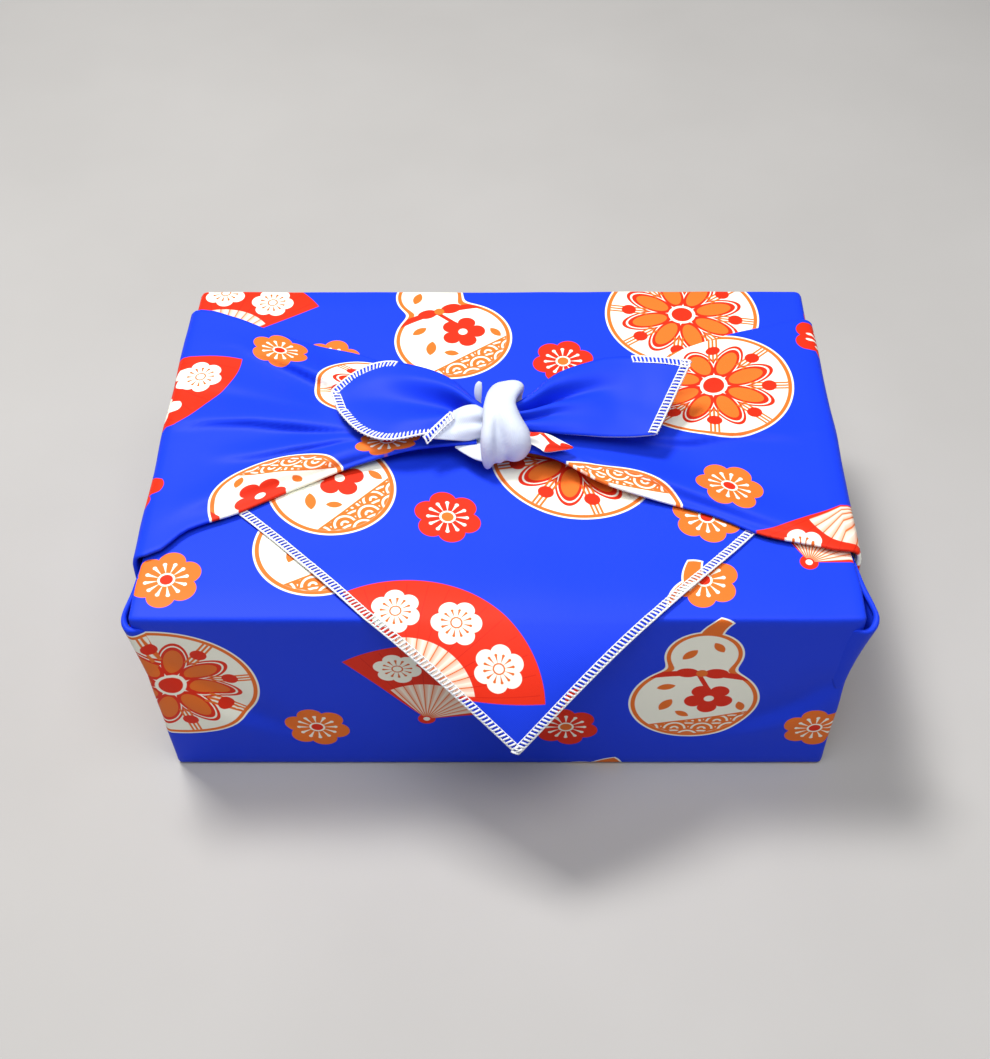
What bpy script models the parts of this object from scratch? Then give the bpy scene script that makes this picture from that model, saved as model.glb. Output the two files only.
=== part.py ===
"""A square furoshiki cloth folded and tied round a carton, with the plain carton inside.

Both solids stand in one frame: the origin is the centre of the flat underside on the
surface, +X runs along the long side to the right, +Y from front to back and +Z up.
The cloth is one sheet: it passes under the box, up all four walls and over the top,
and its two side corners are gathered into bands that meet in the knot.
"""

import math

import bmesh
import bpy
from mathutils import Vector

MM = 0.001

# Bundle and cloth
BUNDLE_W = 280.0
BUNDLE_D = 193.0
CLOTH_T = 1.0
LAYER_STEP = 1.6
HALF_W = BUNDLE_W / 2 - CLOTH_T / 2
HALF_D = BUNDLE_D / 2 - CLOTH_T / 2
BASE_Z = CLOTH_T / 2
TOP_Z = 103.3
WALL_H = TOP_Z - BASE_Z
EDGE_R = 3.5
EDGE_MID = 0.42 * EDGE_R

# Carton
BOX_HALF_W = 136.4
BOX_HALF_D = 92.8
BOX_BASE_Z = CLOTH_T + 0.3
BOX_TOP_Z = 98.6
BOX_BEVEL = 1.6

# Pleat that closes each upright corner, measured from that corner
FOLD_R = LAYER_STEP / 2
PLEAT_START = 5.0
PLEAT_FORMED_H = 20.0
PLEAT_SMALL = 1.5
MIDDLE_LIFT = 0.3
SETTLE = 26.0
FRONT_LEAN = {1: 31.5, -1: 29.0}
BACK_LEAN = {1: 22.5, -1: 16.0}
FRONT_PLEAT = {1: 32.0, -1: 30.0}
BACK_PLEAT = {1: 30.0, -1: 32.0}

# Near flap, which lies lowest on the top and has its tip turned under
NEAR_FOLD_Y = 85.0
NEAR_FOLD_HALF = 127.0
NEAR_TIP_Y = -42.0
NEAR_SIDE_HALF = 133.5

# Far flap, whose corner hangs over the front
FLAP_LIFT = LAYER_STEP
FAR_SIDE_HALF = 134.0
FLAP_EDGE_HALF = 55.0
FLAP_SHIFT_EDGE = 5.0
FLAP_SHIFT_TIP = 8.0
HANG_OUT = 38.0
HANG_DROP = 35.0

# Bands over the top: distance from the middle, then front and back edge
BAND_TABLE = {
    1: ((140.0, -64.0, 73.5), (122.0, -61.0, 68.5), (104.0, -56.0, 63.0), (84.0, -45.0, 54.0),
        (62.0, -38.0, 41.0), (41.0, -31.0, 28.0), (24.0, -21.0, 13.0), (4.0, -17.0, 3.0)),
    -1: ((140.0, -66.5, 80.0), (122.0, -53.0, 75.0), (104.0, -44.5, 65.5), (84.0, -32.0, 56.0),
         (62.0, -21.0, 47.5), (41.0, -15.0, 33.0), (24.0, -14.0, 16.0), (4.0, -14.0, 3.0)),
}
BAND_PLEAT_AT_KNOT = 5.0
BAND_RISE = 9.0
BAND_RISE_FROM = 84.0
BAND_WAVE = {1: 2.6, -1: 2.9}
BAND_WAVES = {1: 2.5, -1: 3.0}
STEEPEST_FOLD = 0.4

# Loop of slack cloth at the front upper corners
LOOP_OUT = {1: 8.5, -1: 3.5}
LOOP_REACH = 18.0
LOOP_BACK = 11.0
LOOP_DOWN = 6.0

# Grid steps
ARC_STEPS = 3
PLEAT_STEPS = 3
WALL_PLEAT_STEPS = 3
BAND_STEPS = 12


def smooth(value):
    """Soft step from 0 to 1."""
    t = min(max(value, 0.0), 1.0)
    return t * t * (3.0 - 2.0 * t)


def mix(start, end, share):
    """Straight blend of two numbers."""
    return start + (end - start) * share


def table_at(table, key, column):
    """Value of a falling table at a key, with straight lines between its rows."""
    for upper, lower in zip(table, table[1:]):
        if key >= lower[0]:
            share = (key - lower[0]) / (upper[0] - lower[0])
            return mix(lower[column], upper[column], min(share, 1.0))
    return table[-1][column]


def rounded(x, y, z, lift):
    """Point of the rounded reference block that belongs to a point of the sharp one."""
    inner = Vector((
        min(max(x, EDGE_R - HALF_W), HALF_W - EDGE_R),
        min(max(y, EDGE_R - HALF_D), HALF_D - EDGE_R),
        min(max(z, BASE_Z + EDGE_R), TOP_Z - EDGE_R),
    ))
    outward = (Vector((x, y, z)) - inner).normalized()
    return inner + outward * (EDGE_R + lift)


def corner_loop(point):
    """Outward push of the slack cloth at the front upper corners."""
    side = 1 if point.x > 0 else -1
    centre = Vector((side * HALF_W, LOOP_BACK - HALF_D, TOP_Z - LOOP_DOWN))
    share = 1.0 - (point - centre).length / LOOP_REACH
    if share <= 0.0:
        return point
    return point + Vector((side * LOOP_OUT[side] * smooth(share), 0.0, 0.8 * smooth(share)))


# Lists of grid lines

def wall_heights():
    """Heights of the grid lines on the walls, from the underside up."""
    middle = [6.5, 9.5, 12.5, 16.0, 20.0, 36.0, 60.0, 84.0]
    offsets = [0.0, EDGE_MID, EDGE_R] + middle + [WALL_H - EDGE_R, WALL_H - EDGE_MID, WALL_H]
    return [BASE_Z + offset for offset in offsets]


def strip_columns():
    """Places across the bundle of the grid lines that run front to back."""
    inner = [-112.0, -84.0, -56.0, -28.0, 0.0, 28.0, 56.0, 84.0, 112.0]
    edge = [HALF_W, HALF_W - EDGE_MID, HALF_W - EDGE_R]
    return [-value for value in edge] + inner + edge[::-1]


def pleat_values(side, front, height):
    """Turn, hidden length and outer edge of a corner pleat at one height."""
    share = (height - BASE_Z) / WALL_H
    lean = FRONT_LEAN[side] if front else BACK_LEAN[side]
    depth = FRONT_PLEAT[side] if front else BACK_PLEAT[side]
    edge = mix(PLEAT_START, lean, share)
    rise = height - BASE_Z
    formed = max(0.0, (rise - EDGE_R) / (PLEAT_FORMED_H - EDGE_R))
    turn = math.pi * smooth(formed)
    if rise <= PLEAT_FORMED_H:
        hidden = PLEAT_SMALL * formed
    else:
        hidden = mix(PLEAT_SMALL, depth, (rise - PLEAT_FORMED_H) / (WALL_H - PLEAT_FORMED_H))
    return turn, hidden, edge


def top_share(height):
    """How far the layers have moved apart toward the upper edge."""
    return smooth((height - 78.0) / (TOP_Z - EDGE_R - 78.0))


def pleat_section(side, front, height):
    """Corner pleat at one height as (distance from the corner, lift) points."""
    turn, hidden, edge = pleat_values(side, front, height)
    upper = top_share(height)
    inner_lift = 0.0 if front else LAYER_STEP * upper
    extra = LAYER_STEP * upper - inner_lift
    start = edge + FOLD_R
    end = start - 2.0 * FOLD_R * math.sin(turn) - hidden * math.cos(turn)
    corner = [0.0, EDGE_MID, EDGE_R]
    wall = [mix(EDGE_R, end, (step + 1) / WALL_PLEAT_STEPS) for step in range(WALL_PLEAT_STEPS)]
    flat = [(value, inner_lift) for value in corner + wall]
    fold_r = FOLD_R + extra / 2.0 * (turn / math.pi)
    first = []
    for step in range(1, ARC_STEPS + 1):
        angle = turn * step / ARC_STEPS
        first.append((end + FOLD_R * math.sin(angle), inner_lift + fold_r * (1.0 - math.cos(angle))))
    under = []
    for step in range(1, PLEAT_STEPS + 1):
        length = hidden * step / PLEAT_STEPS
        under.append((first[-1][0] + length * math.cos(turn), first[-1][1] + length * math.sin(turn)))
    second = []
    for step in range(1, ARC_STEPS + 1):
        angle = turn * (1.0 - step / ARC_STEPS)
        second.append((
            under[-1][0] + FOLD_R * (math.sin(turn) - math.sin(angle)),
            under[-1][1] + FOLD_R * (math.cos(angle) - math.cos(turn)),
        ))
    return flat, first, under, second


def band_wave(side, share, along, width):
    """Lift of the folds that run along a band; along is the distance from the middle."""
    strength = BAND_WAVE[side] * (1.0 - smooth((along - 20.0) / 135.0)) + 0.25
    strength = min(strength, STEEPEST_FOLD * width / (math.pi * BAND_WAVES[side]))
    ends = smooth(share / 0.12) * smooth((1.0 - share) / 0.12)
    phase = share * BAND_WAVES[side] * 2.0 * math.pi + 0.9 * side
    return strength * ends * (1.0 + math.sin(phase)) / 2.0


def band_rise(along):
    """Lift of a band toward the knot."""
    return BAND_RISE * (1.0 - smooth(along / BAND_RISE_FROM))


# Patches of the sheet, each a list of rows of points

def wall_side_rows(side):
    """Side wall from the underside to the upper edge, as (place along Y, height, lift) rows."""
    rows = []
    corner_rows = {True: [], False: []}
    for height in wall_heights():
        sections = {front: pleat_section(side, front, height) for front in (True, False)}
        row = []
        for front in (True, False):
            flat, first, under, second = sections[front]
            sign = 1.0 if front else -1.0
            origin = -HALF_D if front else HALF_D
            corner = [(origin + sign * place, height, lift) for place, lift in flat + first]
            corner_rows[front].append(corner)
            half = [first[-1]] + under + second
            placed = [(origin + sign * place, height, lift) for place, lift in half]
            if front:
                row += placed
                front_end = placed[-1]
            else:
                back_part = placed[::-1]
                back_end = placed[-1]
        middle_lift = MIDDLE_LIFT * smooth((height - BASE_Z) / PLEAT_FORMED_H)
        middle_lift += 3.0 * LAYER_STEP * top_share(height)
        for step in range(1, BAND_STEPS):
            share = step / BAND_STEPS
            place = mix(front_end[0], back_end[0], share)
            front_reach = (place - front_end[0] - pleat_values(side, True, height)[1]) / SETTLE
            back_reach = (back_end[0] - place - pleat_values(side, False, height)[1]) / SETTLE
            lift = middle_lift
            lift += (front_end[2] - middle_lift) * (1.0 - smooth(front_reach - 0.1))
            lift += (back_end[2] - middle_lift) * (1.0 - smooth(back_reach - 0.1))
            wave = band_wave(side, share, 140.0 + TOP_Z - height, back_end[0] - front_end[0])
            lift += wave * smooth((height - 30.0) / 70.0)
            row.append((place, height, lift))
        rows.append(row + back_part)
    return rows, corner_rows


def band_top_rows(side):
    """Band from the upper edge to the knot, as (X, Y, lift) rows."""
    rows = []
    table = BAND_TABLE[side]
    stations = [HALF_W - EDGE_MID, HALF_W - EDGE_R, 124.0, 108.0, 92.0, 76.0, 60.0, 45.0, 32.0, 20.0, 9.0]
    for along in stations:
        near = smooth(1.0 - along / HALF_W)
        front_y = table_at(table, along, 1)
        back_y = table_at(table, along, 2)
        start_front = FRONT_LEAN[side] - HALF_D
        start_back = HALF_D - BACK_LEAN[side]
        ease = smooth((HALF_W - along) / 16.0)
        front_y = mix(start_front, front_y, ease)
        back_y = mix(start_back, back_y, ease)
        rise = band_rise(along)
        under_lift = 2.0 * LAYER_STEP + rise
        front_hidden = mix(FRONT_PLEAT[side], BAND_PLEAT_AT_KNOT, near)
        back_hidden = mix(BACK_PLEAT[side], BAND_PLEAT_AT_KNOT, near)
        first = front_y + FOLD_R
        last = back_y - FOLD_R
        width = last - first

        def lifted(place, lift):
            share = (place - first) / width
            return (side * along, place, lift + band_wave(side, share, along, width))

        row = []
        for step in range(PLEAT_STEPS + 1):
            row.append(lifted(first + front_hidden * (1.0 - step / PLEAT_STEPS), under_lift))
        for step in range(1, ARC_STEPS + 1):
            angle = math.pi * (step / ARC_STEPS - 0.5)
            place = first - FOLD_R * math.cos(angle)
            row.append((side * along, place, under_lift + FOLD_R * (1.0 + math.sin(angle))))
        for step in range(1, BAND_STEPS):
            row.append(lifted(mix(first, last, step / BAND_STEPS), under_lift + LAYER_STEP))
        row.append((side * along, last, under_lift + LAYER_STEP))
        for step in range(ARC_STEPS - 1, -1, -1):
            angle = math.pi * (step / ARC_STEPS - 0.5)
            place = last + FOLD_R * math.cos(angle)
            row.append((side * along, place, under_lift + FOLD_R * (1.0 + math.sin(angle))))
        for step in range(PLEAT_STEPS - 1, -1, -1):
            row.append(lifted(last - back_hidden * (1.0 - step / PLEAT_STEPS), under_lift))
        rows.append(row)
    return rows


def side_patches(side):
    """Grids of one side: both corner pleats, the side wall and its band."""
    wall, corners = wall_side_rows(side)
    patches = []
    for front in (True, False):
        grid = [[corner_loop(rounded(side * HALF_W, y, z, lift)) for y, z, lift in row]
                for row in corners[front]]
        patches.append(grid)
    band = [[rounded(side * HALF_W, y, z, lift) for y, z, lift in row] for row in wall]
    for row in band_top_rows(side):
        band.append([rounded(x, y, TOP_Z, lift) for x, y, lift in row])
    patches.append(band)
    return patches


def edge_places(front):
    """Distances from the corner, left and right, shared by a flap and its corner pleats."""
    left = [place for place, lift in pleat_section(-1, front, TOP_Z)[0]]
    right = [place for place, lift in pleat_section(1, front, TOP_Z)[0]]
    return list(zip(left, right))


def skewed(pair, x):
    """Distance from the edge at one place across the bundle."""
    return mix(pair[0], pair[1], (x + HALF_W) / (2.0 * HALF_W))


def near_flap_rows():
    """Near flap from its hidden tip back to the front upper edge."""
    columns = strip_columns()
    rows = [[rounded(0.0, NEAR_TIP_Y, TOP_Z, -LAYER_STEP)] * len(columns)]
    for step in range(1, 5):
        share = step / 4
        y = mix(NEAR_TIP_Y, NEAR_FOLD_Y, share)
        reach = NEAR_FOLD_HALF * share / HALF_W
        rows.append([rounded(x * reach, y, TOP_Z, -LAYER_STEP) for x in columns])
    for step in range(1, ARC_STEPS + 1):
        angle = math.pi * (step / ARC_STEPS - 0.5)
        lift = -FOLD_R + FOLD_R * math.sin(angle)
        y = NEAR_FOLD_Y + FOLD_R * math.cos(angle)
        reach = NEAR_FOLD_HALF / HALF_W
        rows.append([rounded(x * reach, y, TOP_Z, lift) for x in columns])
    pairs = edge_places(True)
    last = pairs[-1]
    for share, half in ((0.78, NEAR_SIDE_HALF), (0.5, NEAR_SIDE_HALF), (0.22, NEAR_SIDE_HALF), (0.0, NEAR_SIDE_HALF)):
        row = []
        for x in columns:
            y = mix(skewed(last, x) - HALF_D, NEAR_FOLD_Y, share)
            row.append(rounded(x * half / HALF_W, y, TOP_Z, 0.0))
        rows.append(row)
    for pair in pairs[-2::-1]:
        rows.append([rounded(x, skewed(pair, x) - HALF_D, TOP_Z, 0.0) for x in columns])
    return [[corner_loop(point) for point in row] for row in rows]


def far_flap_rows():
    """Far flap from the back upper edge forward, over the front and down to its tip."""
    columns = strip_columns()
    rows = []
    pairs = edge_places(False)
    for pair in pairs[:-1]:
        rows.append([rounded(x, HALF_D - skewed(pair, x), TOP_Z, FLAP_LIFT) for x in columns])
    for y in (42.0, 20.0, -5.0, -17.0, -34.0, -52.0, -70.0, -84.0):
        half = min(FAR_SIDE_HALF, FLAP_EDGE_HALF + y + HALF_D)
        shift = FLAP_SHIFT_EDGE * smooth((-5.0 - y) / 60.0)
        swell = 0.9 * smooth((-60.0 - y) / 24.0)
        rows.append([rounded(x * half / HALF_W + shift, y, TOP_Z, FLAP_LIFT + swell) for x in columns])
    hang = hang_profile()
    for reach, out, drop in hang:
        half = FLAP_EDGE_HALF * (1.0 - reach)
        shift = mix(FLAP_SHIFT_EDGE, FLAP_SHIFT_TIP, reach)
        row = []
        for x in columns:
            across = x / HALF_W
            cup = 2.2 * across * across * reach * (1.0 - reach) * 4.0
            row.append(Vector((
                across * half + shift,
                -HALF_D - out + cup,
                TOP_Z + FLAP_LIFT + 0.4 - drop,
            )))
        rows.append(row)
    return rows


def hang_profile():
    """Points of the hanging corner: share of its length, way out and drop."""
    count = 6
    start = math.radians(16.0)
    turn = math.radians(56.0)
    out_sum = 0.0
    drop_sum = 0.0
    raw = [(0.0, 0.0, 0.0)]
    fine = 10
    for step in range(count * fine):
        angle = start + turn * (step + 0.5) / (count * fine)
        out_sum += math.cos(angle)
        drop_sum += math.sin(angle)
        if (step + 1) % fine == 0:
            raw.append(((step + 1) / (count * fine), out_sum, drop_sum))
    return [(reach, out / out_sum * HANG_OUT, drop / drop_sum * HANG_DROP) for reach, out, drop in raw]


def strip_patches():
    """Grids of the long strip: near flap, front wall, underside, back wall, far flap."""
    columns = strip_columns()
    heights = wall_heights()
    front = [[corner_loop(rounded(x, -HALF_D, z, 0.0)) for x in columns] for z in heights]
    back = []
    for z in heights:
        lift = LAYER_STEP * top_share(z)
        back.append([rounded(x, HALF_D, z, lift) for x in columns])
    corner = [place for place, lift in pleat_section(1, True, BASE_Z)[0]]
    span = HALF_D - corner[-1]
    places = [place - HALF_D for place in corner]
    places += [mix(-span, span, step / BAND_STEPS) for step in range(1, BAND_STEPS)]
    places += [HALF_D - place for place in corner[::-1]]
    under = [[rounded(x, y, BASE_Z, 0.0) for x in columns] for y in places]
    return [near_flap_rows(), front, under, back, far_flap_rows()]


# Mesh helpers

def material(name, colour, roughness):
    """Plain material of one object."""
    made = bpy.data.materials.new(name)
    made.use_nodes = True
    shader = made.node_tree.nodes["Principled BSDF"]
    shader.inputs["Base Color"].default_value = (*colour, 1.0)
    shader.inputs["Roughness"].default_value = roughness
    return made


def new_object(name, mesh, collection):
    """Object of a mesh in a collection."""
    made = bpy.data.objects.new(name, mesh)
    collection.objects.link(made)
    return made


def grid_mesh(name, patches):
    """Open mesh of several grids whose shared borders are welded."""
    work = bmesh.new()
    for rows in patches:
        made = [[work.verts.new(point * MM) for point in row] for row in rows]
        for upper, lower in zip(made, made[1:]):
            for index in range(len(upper) - 1):
                work.faces.new((upper[index], upper[index + 1], lower[index + 1], lower[index]))
    bmesh.ops.remove_doubles(work, verts=work.verts, dist=0.00002)
    bmesh.ops.dissolve_degenerate(work, edges=work.edges, dist=0.00001)
    bmesh.ops.recalc_face_normals(work, faces=work.faces)
    mesh = bpy.data.meshes.new(name)
    work.to_mesh(mesh)
    work.free()
    mesh.shade_smooth()
    return mesh


def thicken(target, thickness):
    """Closed sheet of even thickness."""
    made = target.modifiers.new("cloth thickness", "SOLIDIFY")
    made.thickness = thickness * MM
    made.offset = 0.0
    made.use_even_offset = False


def strap_mesh(name, path, side_axis, sections=10):
    """Closed swept body; path rows are a centre, a half width and a half thickness."""
    work = bmesh.new()
    rings = []
    centres = [Vector(row[0]) for row in path]
    for index, row in enumerate(path):
        ahead = centres[min(index + 1, len(path) - 1)]
        behind = centres[max(index - 1, 0)]
        forward = (ahead - behind).normalized()
        across = (Vector(side_axis) - forward * Vector(side_axis).dot(forward)).normalized()
        outward = forward.cross(across)
        ring = []
        for step in range(sections):
            angle = 2.0 * math.pi * step / sections
            offset = across * math.cos(angle) * row[1] + outward * math.sin(angle) * row[2]
            ring.append(work.verts.new((centres[index] + offset) * MM))
        rings.append(ring)
    for upper, lower in zip(rings, rings[1:]):
        for step in range(sections):
            after = (step + 1) % sections
            work.faces.new((upper[step], upper[after], lower[after], lower[step]))
    work.faces.new(rings[0])
    work.faces.new(rings[-1])
    bmesh.ops.recalc_face_normals(work, faces=work.faces)
    mesh = bpy.data.meshes.new(name)
    work.to_mesh(mesh)
    work.free()
    mesh.shade_smooth()
    return mesh


def leaf_rows(back_edge, front_edge, cup, twist, columns=6):
    """Rows of a tie end between two edge lines, cupped across."""
    rows = []
    for step, (back, front) in enumerate(zip(back_edge, front_edge)):
        back = Vector(back)
        front = Vector(front)
        share = step / (len(back_edge) - 1)
        row = []
        for index in range(columns + 1):
            across = index / columns
            point = back.lerp(front, across)
            dip = cup[step] * math.sin(math.pi * across)
            ripple = twist * (1.0 - share) * math.sin(3.0 * math.pi * across)
            row.append(point + Vector((0.0, 0.0, dip + ripple)))
        rows.append(row)
    return rows


# Knot and the two tie ends

KNOT_WRAP = (
    ((4.5, 7.5, 111.5), 6.0, 2.6),
    ((6.0, 6.5, 118.5), 8.0, 4.0),
    ((5.5, 1.5, 125.0), 9.2, 4.6),
    ((3.5, -6.0, 127.5), 9.4, 5.0),
    ((1.0, -14.0, 125.0), 9.0, 5.2),
    ((-1.0, -20.5, 119.0), 8.2, 4.8),
    ((-2.5, -24.5, 112.5), 6.4, 3.4),
    ((-3.2, -25.5, 109.5), 3.8, 2.0),
)
KNOT_RIGHT = (
    ((1.0, -9.0, 116.0), 9.0, 7.0),
    ((7.0, -13.0, 117.5), 12.0, 8.5),
    ((13.0, -15.0, 117.0), 10.5, 7.5),
    ((18.0, -15.0, 116.0), 6.0, 4.5),
)
KNOT_LEFT = (
    ((1.0, -8.0, 116.0), 8.0, 7.0),
    ((-6.0, -9.0, 116.0), 9.5, 7.5),
    ((-13.0, -8.0, 115.5), 7.5, 5.5),
    ((-21.0, -6.0, 114.5), 5.5, 3.4),
)
KNOT_CORE = (
    ((-15.0, -6.0, 112.5), 9.5, 5.0),
    ((-6.0, -7.0, 115.5), 12.0, 9.0),
    ((6.0, -7.0, 116.0), 13.0, 10.0),
    ((15.0, -4.0, 113.0), 10.5, 5.5),
)
SMALL_TAIL = (
    ((10.0, -18.0, 115.5), 4.5, 2.4),
    ((19.0, -20.5, 116.0), 4.6, 1.8),
    ((27.0, -21.5, 115.5), 2.2, 1.0),
)
SMALL_POINT = (
    ((-3.0, -20.0, 112.5), 5.0, 2.2),
    ((-10.0, -20.5, 112.0), 3.6, 1.6),
    ((-16.0, -19.5, 112.5), 1.0, 0.8),
)
UPRIGHT_TIP = (
    ((-5.5, 0.0, 117.0), 3.0, 1.6),
    ((-7.0, 3.0, 122.0), 2.6, 1.3),
    ((-7.8, 4.5, 127.5), 1.8, 0.9),
)
RIGHT_EAR_BACK = ((6.0, 3.0, 119.0), (18.0, 10.0, 122.5), (33.0, 20.0, 126.0), (50.0, 24.5, 128.0),
                  (66.0, 23.0, 129.5), (80.0, 20.0, 129.0))
RIGHT_EAR_FRONT = ((6.0, -8.0, 117.0), (18.0, -9.5, 117.5), (31.0, -11.5, 117.5), (44.0, -13.0, 117.5),
                   (54.0, -13.5, 118.0), (64.0, -13.5, 119.5))
RIGHT_EAR_CUP = (0.0, -2.0, 1.5, 3.0, 3.5, 2.0)
LEFT_EAR_BACK = ((-5.0, -3.0, 118.0), (-18.0, 14.0, 120.5), (-33.0, 26.0, 119.0), (-48.0, 32.0, 117.0),
                 (-60.0, 27.5, 115.8), (-70.5, 15.5, 115.0))
LEFT_EAR_FRONT = ((-6.5, -10.0, 117.5), (-19.0, -9.5, 118.4), (-32.0, -11.0, 117.0), (-46.0, -12.5, 115.2),
                  (-57.0, -6.0, 114.6), (-67.0, 4.0, 114.4))
LEFT_EAR_CUP = (0.0, -0.6, 0.4, 1.4, 1.4, 0.5)
EAR_TWIST = 1.3


def clear_scene():
    """Empty the scene of objects."""
    for item in list(bpy.data.objects):
        bpy.data.objects.remove(item, do_unlink=True)


def new_collection(name):
    """Collection in the scene."""
    made = bpy.data.collections.new(name)
    bpy.context.scene.collection.children.link(made)
    return made


def joined(target, operand):
    """Union of an operand with the target."""
    made = target.modifiers.new("join " + operand.name, "BOOLEAN")
    made.operation = "UNION"
    made.solver = "EXACT"
    made.object = operand


def hide_operand(operand):
    """Keep an operand out of renders."""
    operand.hide_render = True
    operand.display_type = "WIRE"


def build_cloth(parts, operands):
    """The whole cloth as one closed solid."""
    patches = strip_patches() + side_patches(1) + side_patches(-1)
    cloth = new_object("furoshiki", grid_mesh("furoshiki", patches), parts)
    cloth.data.materials.append(material("printed cloth", (0.03, 0.06, 0.6), 0.6))
    thicken(cloth, CLOTH_T)
    straps = (
        ("knot core", KNOT_CORE, (0.0, 1.0, 0.0)),
        ("knot wrap", KNOT_WRAP, (1.0, 0.0, 0.0)),
        ("knot right fold", KNOT_RIGHT, (0.0, 1.0, 0.0)),
        ("knot left fold", KNOT_LEFT, (0.0, 1.0, 0.0)),
        ("small tail", SMALL_TAIL, (0.0, 1.0, 0.0)),
        ("small point", SMALL_POINT, (0.0, 1.0, 0.0)),
        ("upright tip", UPRIGHT_TIP, (1.0, 0.0, 0.0)),
    )
    for name, path, axis in straps:
        operand = new_object(name, strap_mesh(name, path, axis), operands)
        hide_operand(operand)
        joined(cloth, operand)
    ears = (
        ("right ear", RIGHT_EAR_BACK, RIGHT_EAR_FRONT, RIGHT_EAR_CUP),
        ("left ear", LEFT_EAR_BACK, LEFT_EAR_FRONT, LEFT_EAR_CUP),
    )
    for name, back_edge, front_edge, cup in ears:
        rows = leaf_rows(back_edge, front_edge, cup, EAR_TWIST)
        operand = new_object(name, grid_mesh(name, [rows]), operands)
        thicken(operand, CLOTH_T + 0.2)
        hide_operand(operand)
        joined(cloth, operand)
    return cloth


def build_box(parts):
    """The plain carton."""
    work = bmesh.new()
    bmesh.ops.create_cube(work, size=1.0)
    for vert in work.verts:
        vert.co.x *= 2.0 * BOX_HALF_W * MM
        vert.co.y *= 2.0 * BOX_HALF_D * MM
        vert.co.z = (BOX_BASE_Z if vert.co.z < 0.0 else BOX_TOP_Z) * MM
    mesh = bpy.data.meshes.new("box")
    work.to_mesh(mesh)
    work.free()
    box = new_object("box", mesh, parts)
    box.data.materials.append(material("carton board", (0.55, 0.4, 0.26), 0.8))
    bevel = box.modifiers.new("rounded edges", "BEVEL")
    bevel.width = BOX_BEVEL * MM
    bevel.segments = 2
    return box


def main():
    """Build both solids."""
    clear_scene()
    parts = new_collection("furoshiki wrap and box")
    operands = new_collection("joined shapes")
    build_cloth(parts, operands)
    build_box(parts)


main()
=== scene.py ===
"""Looks of the tied furoshiki: one folded cloth with its print, reverse side and sewn edge."""

import math

import bmesh
import bpy
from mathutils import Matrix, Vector, noise


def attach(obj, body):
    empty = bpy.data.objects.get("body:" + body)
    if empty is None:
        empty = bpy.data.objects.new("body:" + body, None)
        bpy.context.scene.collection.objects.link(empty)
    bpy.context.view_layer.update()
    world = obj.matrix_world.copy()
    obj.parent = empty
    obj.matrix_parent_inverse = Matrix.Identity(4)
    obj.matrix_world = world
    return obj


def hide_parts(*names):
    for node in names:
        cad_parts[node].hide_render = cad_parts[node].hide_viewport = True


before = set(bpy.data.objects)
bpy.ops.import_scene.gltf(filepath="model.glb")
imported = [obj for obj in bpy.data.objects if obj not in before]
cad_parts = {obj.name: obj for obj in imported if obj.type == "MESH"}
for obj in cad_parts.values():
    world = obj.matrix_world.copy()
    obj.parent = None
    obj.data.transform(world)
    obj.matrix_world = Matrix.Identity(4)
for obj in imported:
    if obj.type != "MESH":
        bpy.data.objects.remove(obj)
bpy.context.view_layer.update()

MM = 0.001

# Bundle and cloth, in millimetres, from the same values as the solids
HALF_W = 139.5
HALF_D = 96.0
BASE_Z = 0.5
TOP_Z = 103.3
WALL_H = TOP_Z - BASE_Z
EDGE_R = 2.0
EDGE_MID = 0.42 * EDGE_R
CLOTH_T = 0.5
LAYER_STEP = 1.2
FOLD_R = LAYER_STEP / 2

PLEAT_START = 5.0
PLEAT_FORMED_H = 20.0
PLEAT_SMALL = 1.5
MIDDLE_LIFT = 0.3
SETTLE = 26.0
FRONT_LEAN = {1: 31.5, -1: 29.0}
BACK_LEAN = {1: 22.5, -1: 16.0}
FRONT_PLEAT = {1: 46.0, -1: 46.0}
BACK_PLEAT = {1: 46.0, -1: 46.0}
PLEAT_SHARE = 0.42

NEAR_FOLD_Y = 85.0
NEAR_FOLD_HALF = 127.0
NEAR_TIP_Y = -42.0
NEAR_SIDE_HALF = 133.5

FAR_SIDE_HALF = 134.0
FLAP_EDGE_HALF = 55.0
FLAP_SHIFT_EDGE = 5.0
FLAP_SHIFT_TIP = 8.0
FLAP_SHIFT_OVER = 60.0
FLAP_SWELL = 0.9
FLAP_SWELL_FROM = 60.0
FLAP_SWELL_OVER = 24.0
FLAP_CUP = 2.2
FLAP_LIFT = 0.4
HANG_OUT = 38.0
HANG_DROP = 35.0
HANG_START = math.radians(22.0)
HANG_TURN = math.radians(40.0)

# Bands on the top: distance from the middle, place of the front edge and of the back edge
BAND_TABLE = {
    1: (
        (140, -64, 73.5), (122, -61, 68.5), (104, -56, 63), (84, -45, 54), (62, -38, 41),
        (41, -31, 28), (24, -21, 13), (4, -17, 3),
    ),
    -1: (
        (140, -66.5, 80), (122, -53, 75), (104, -44.5, 65.5), (84, -32, 56), (62, -21, 47.5),
        (41, -15, 33), (24, -14, 16), (4, -14, 3),
    ),
}
BAND_RISE = 9.0
FOLD_LEAN = {1: 0.65, -1: 0.7}
HIDDEN_SHARE = 0.5
BAND_RISE_FROM = 84.0
BAND_WAVE = {1: 1.2, -1: 1.2}
BAND_WAVES = {1: 2.5, -1: 3.0}
WAVE_LEAST = 0.25
WAVE_FROM = 20.0
WAVE_OVER = 135.0
WAVE_ENDS = 0.12
WAVE_PHASE = 0.9
WALL_WAVE_FROM = 30.0
WALL_WAVE_OVER = 70.0
STEEPEST_FOLD = 0.45
BAND_EASE = 16.0
CREASE_EASE = 12.0
CREASE_ENDS = 0.05

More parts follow.
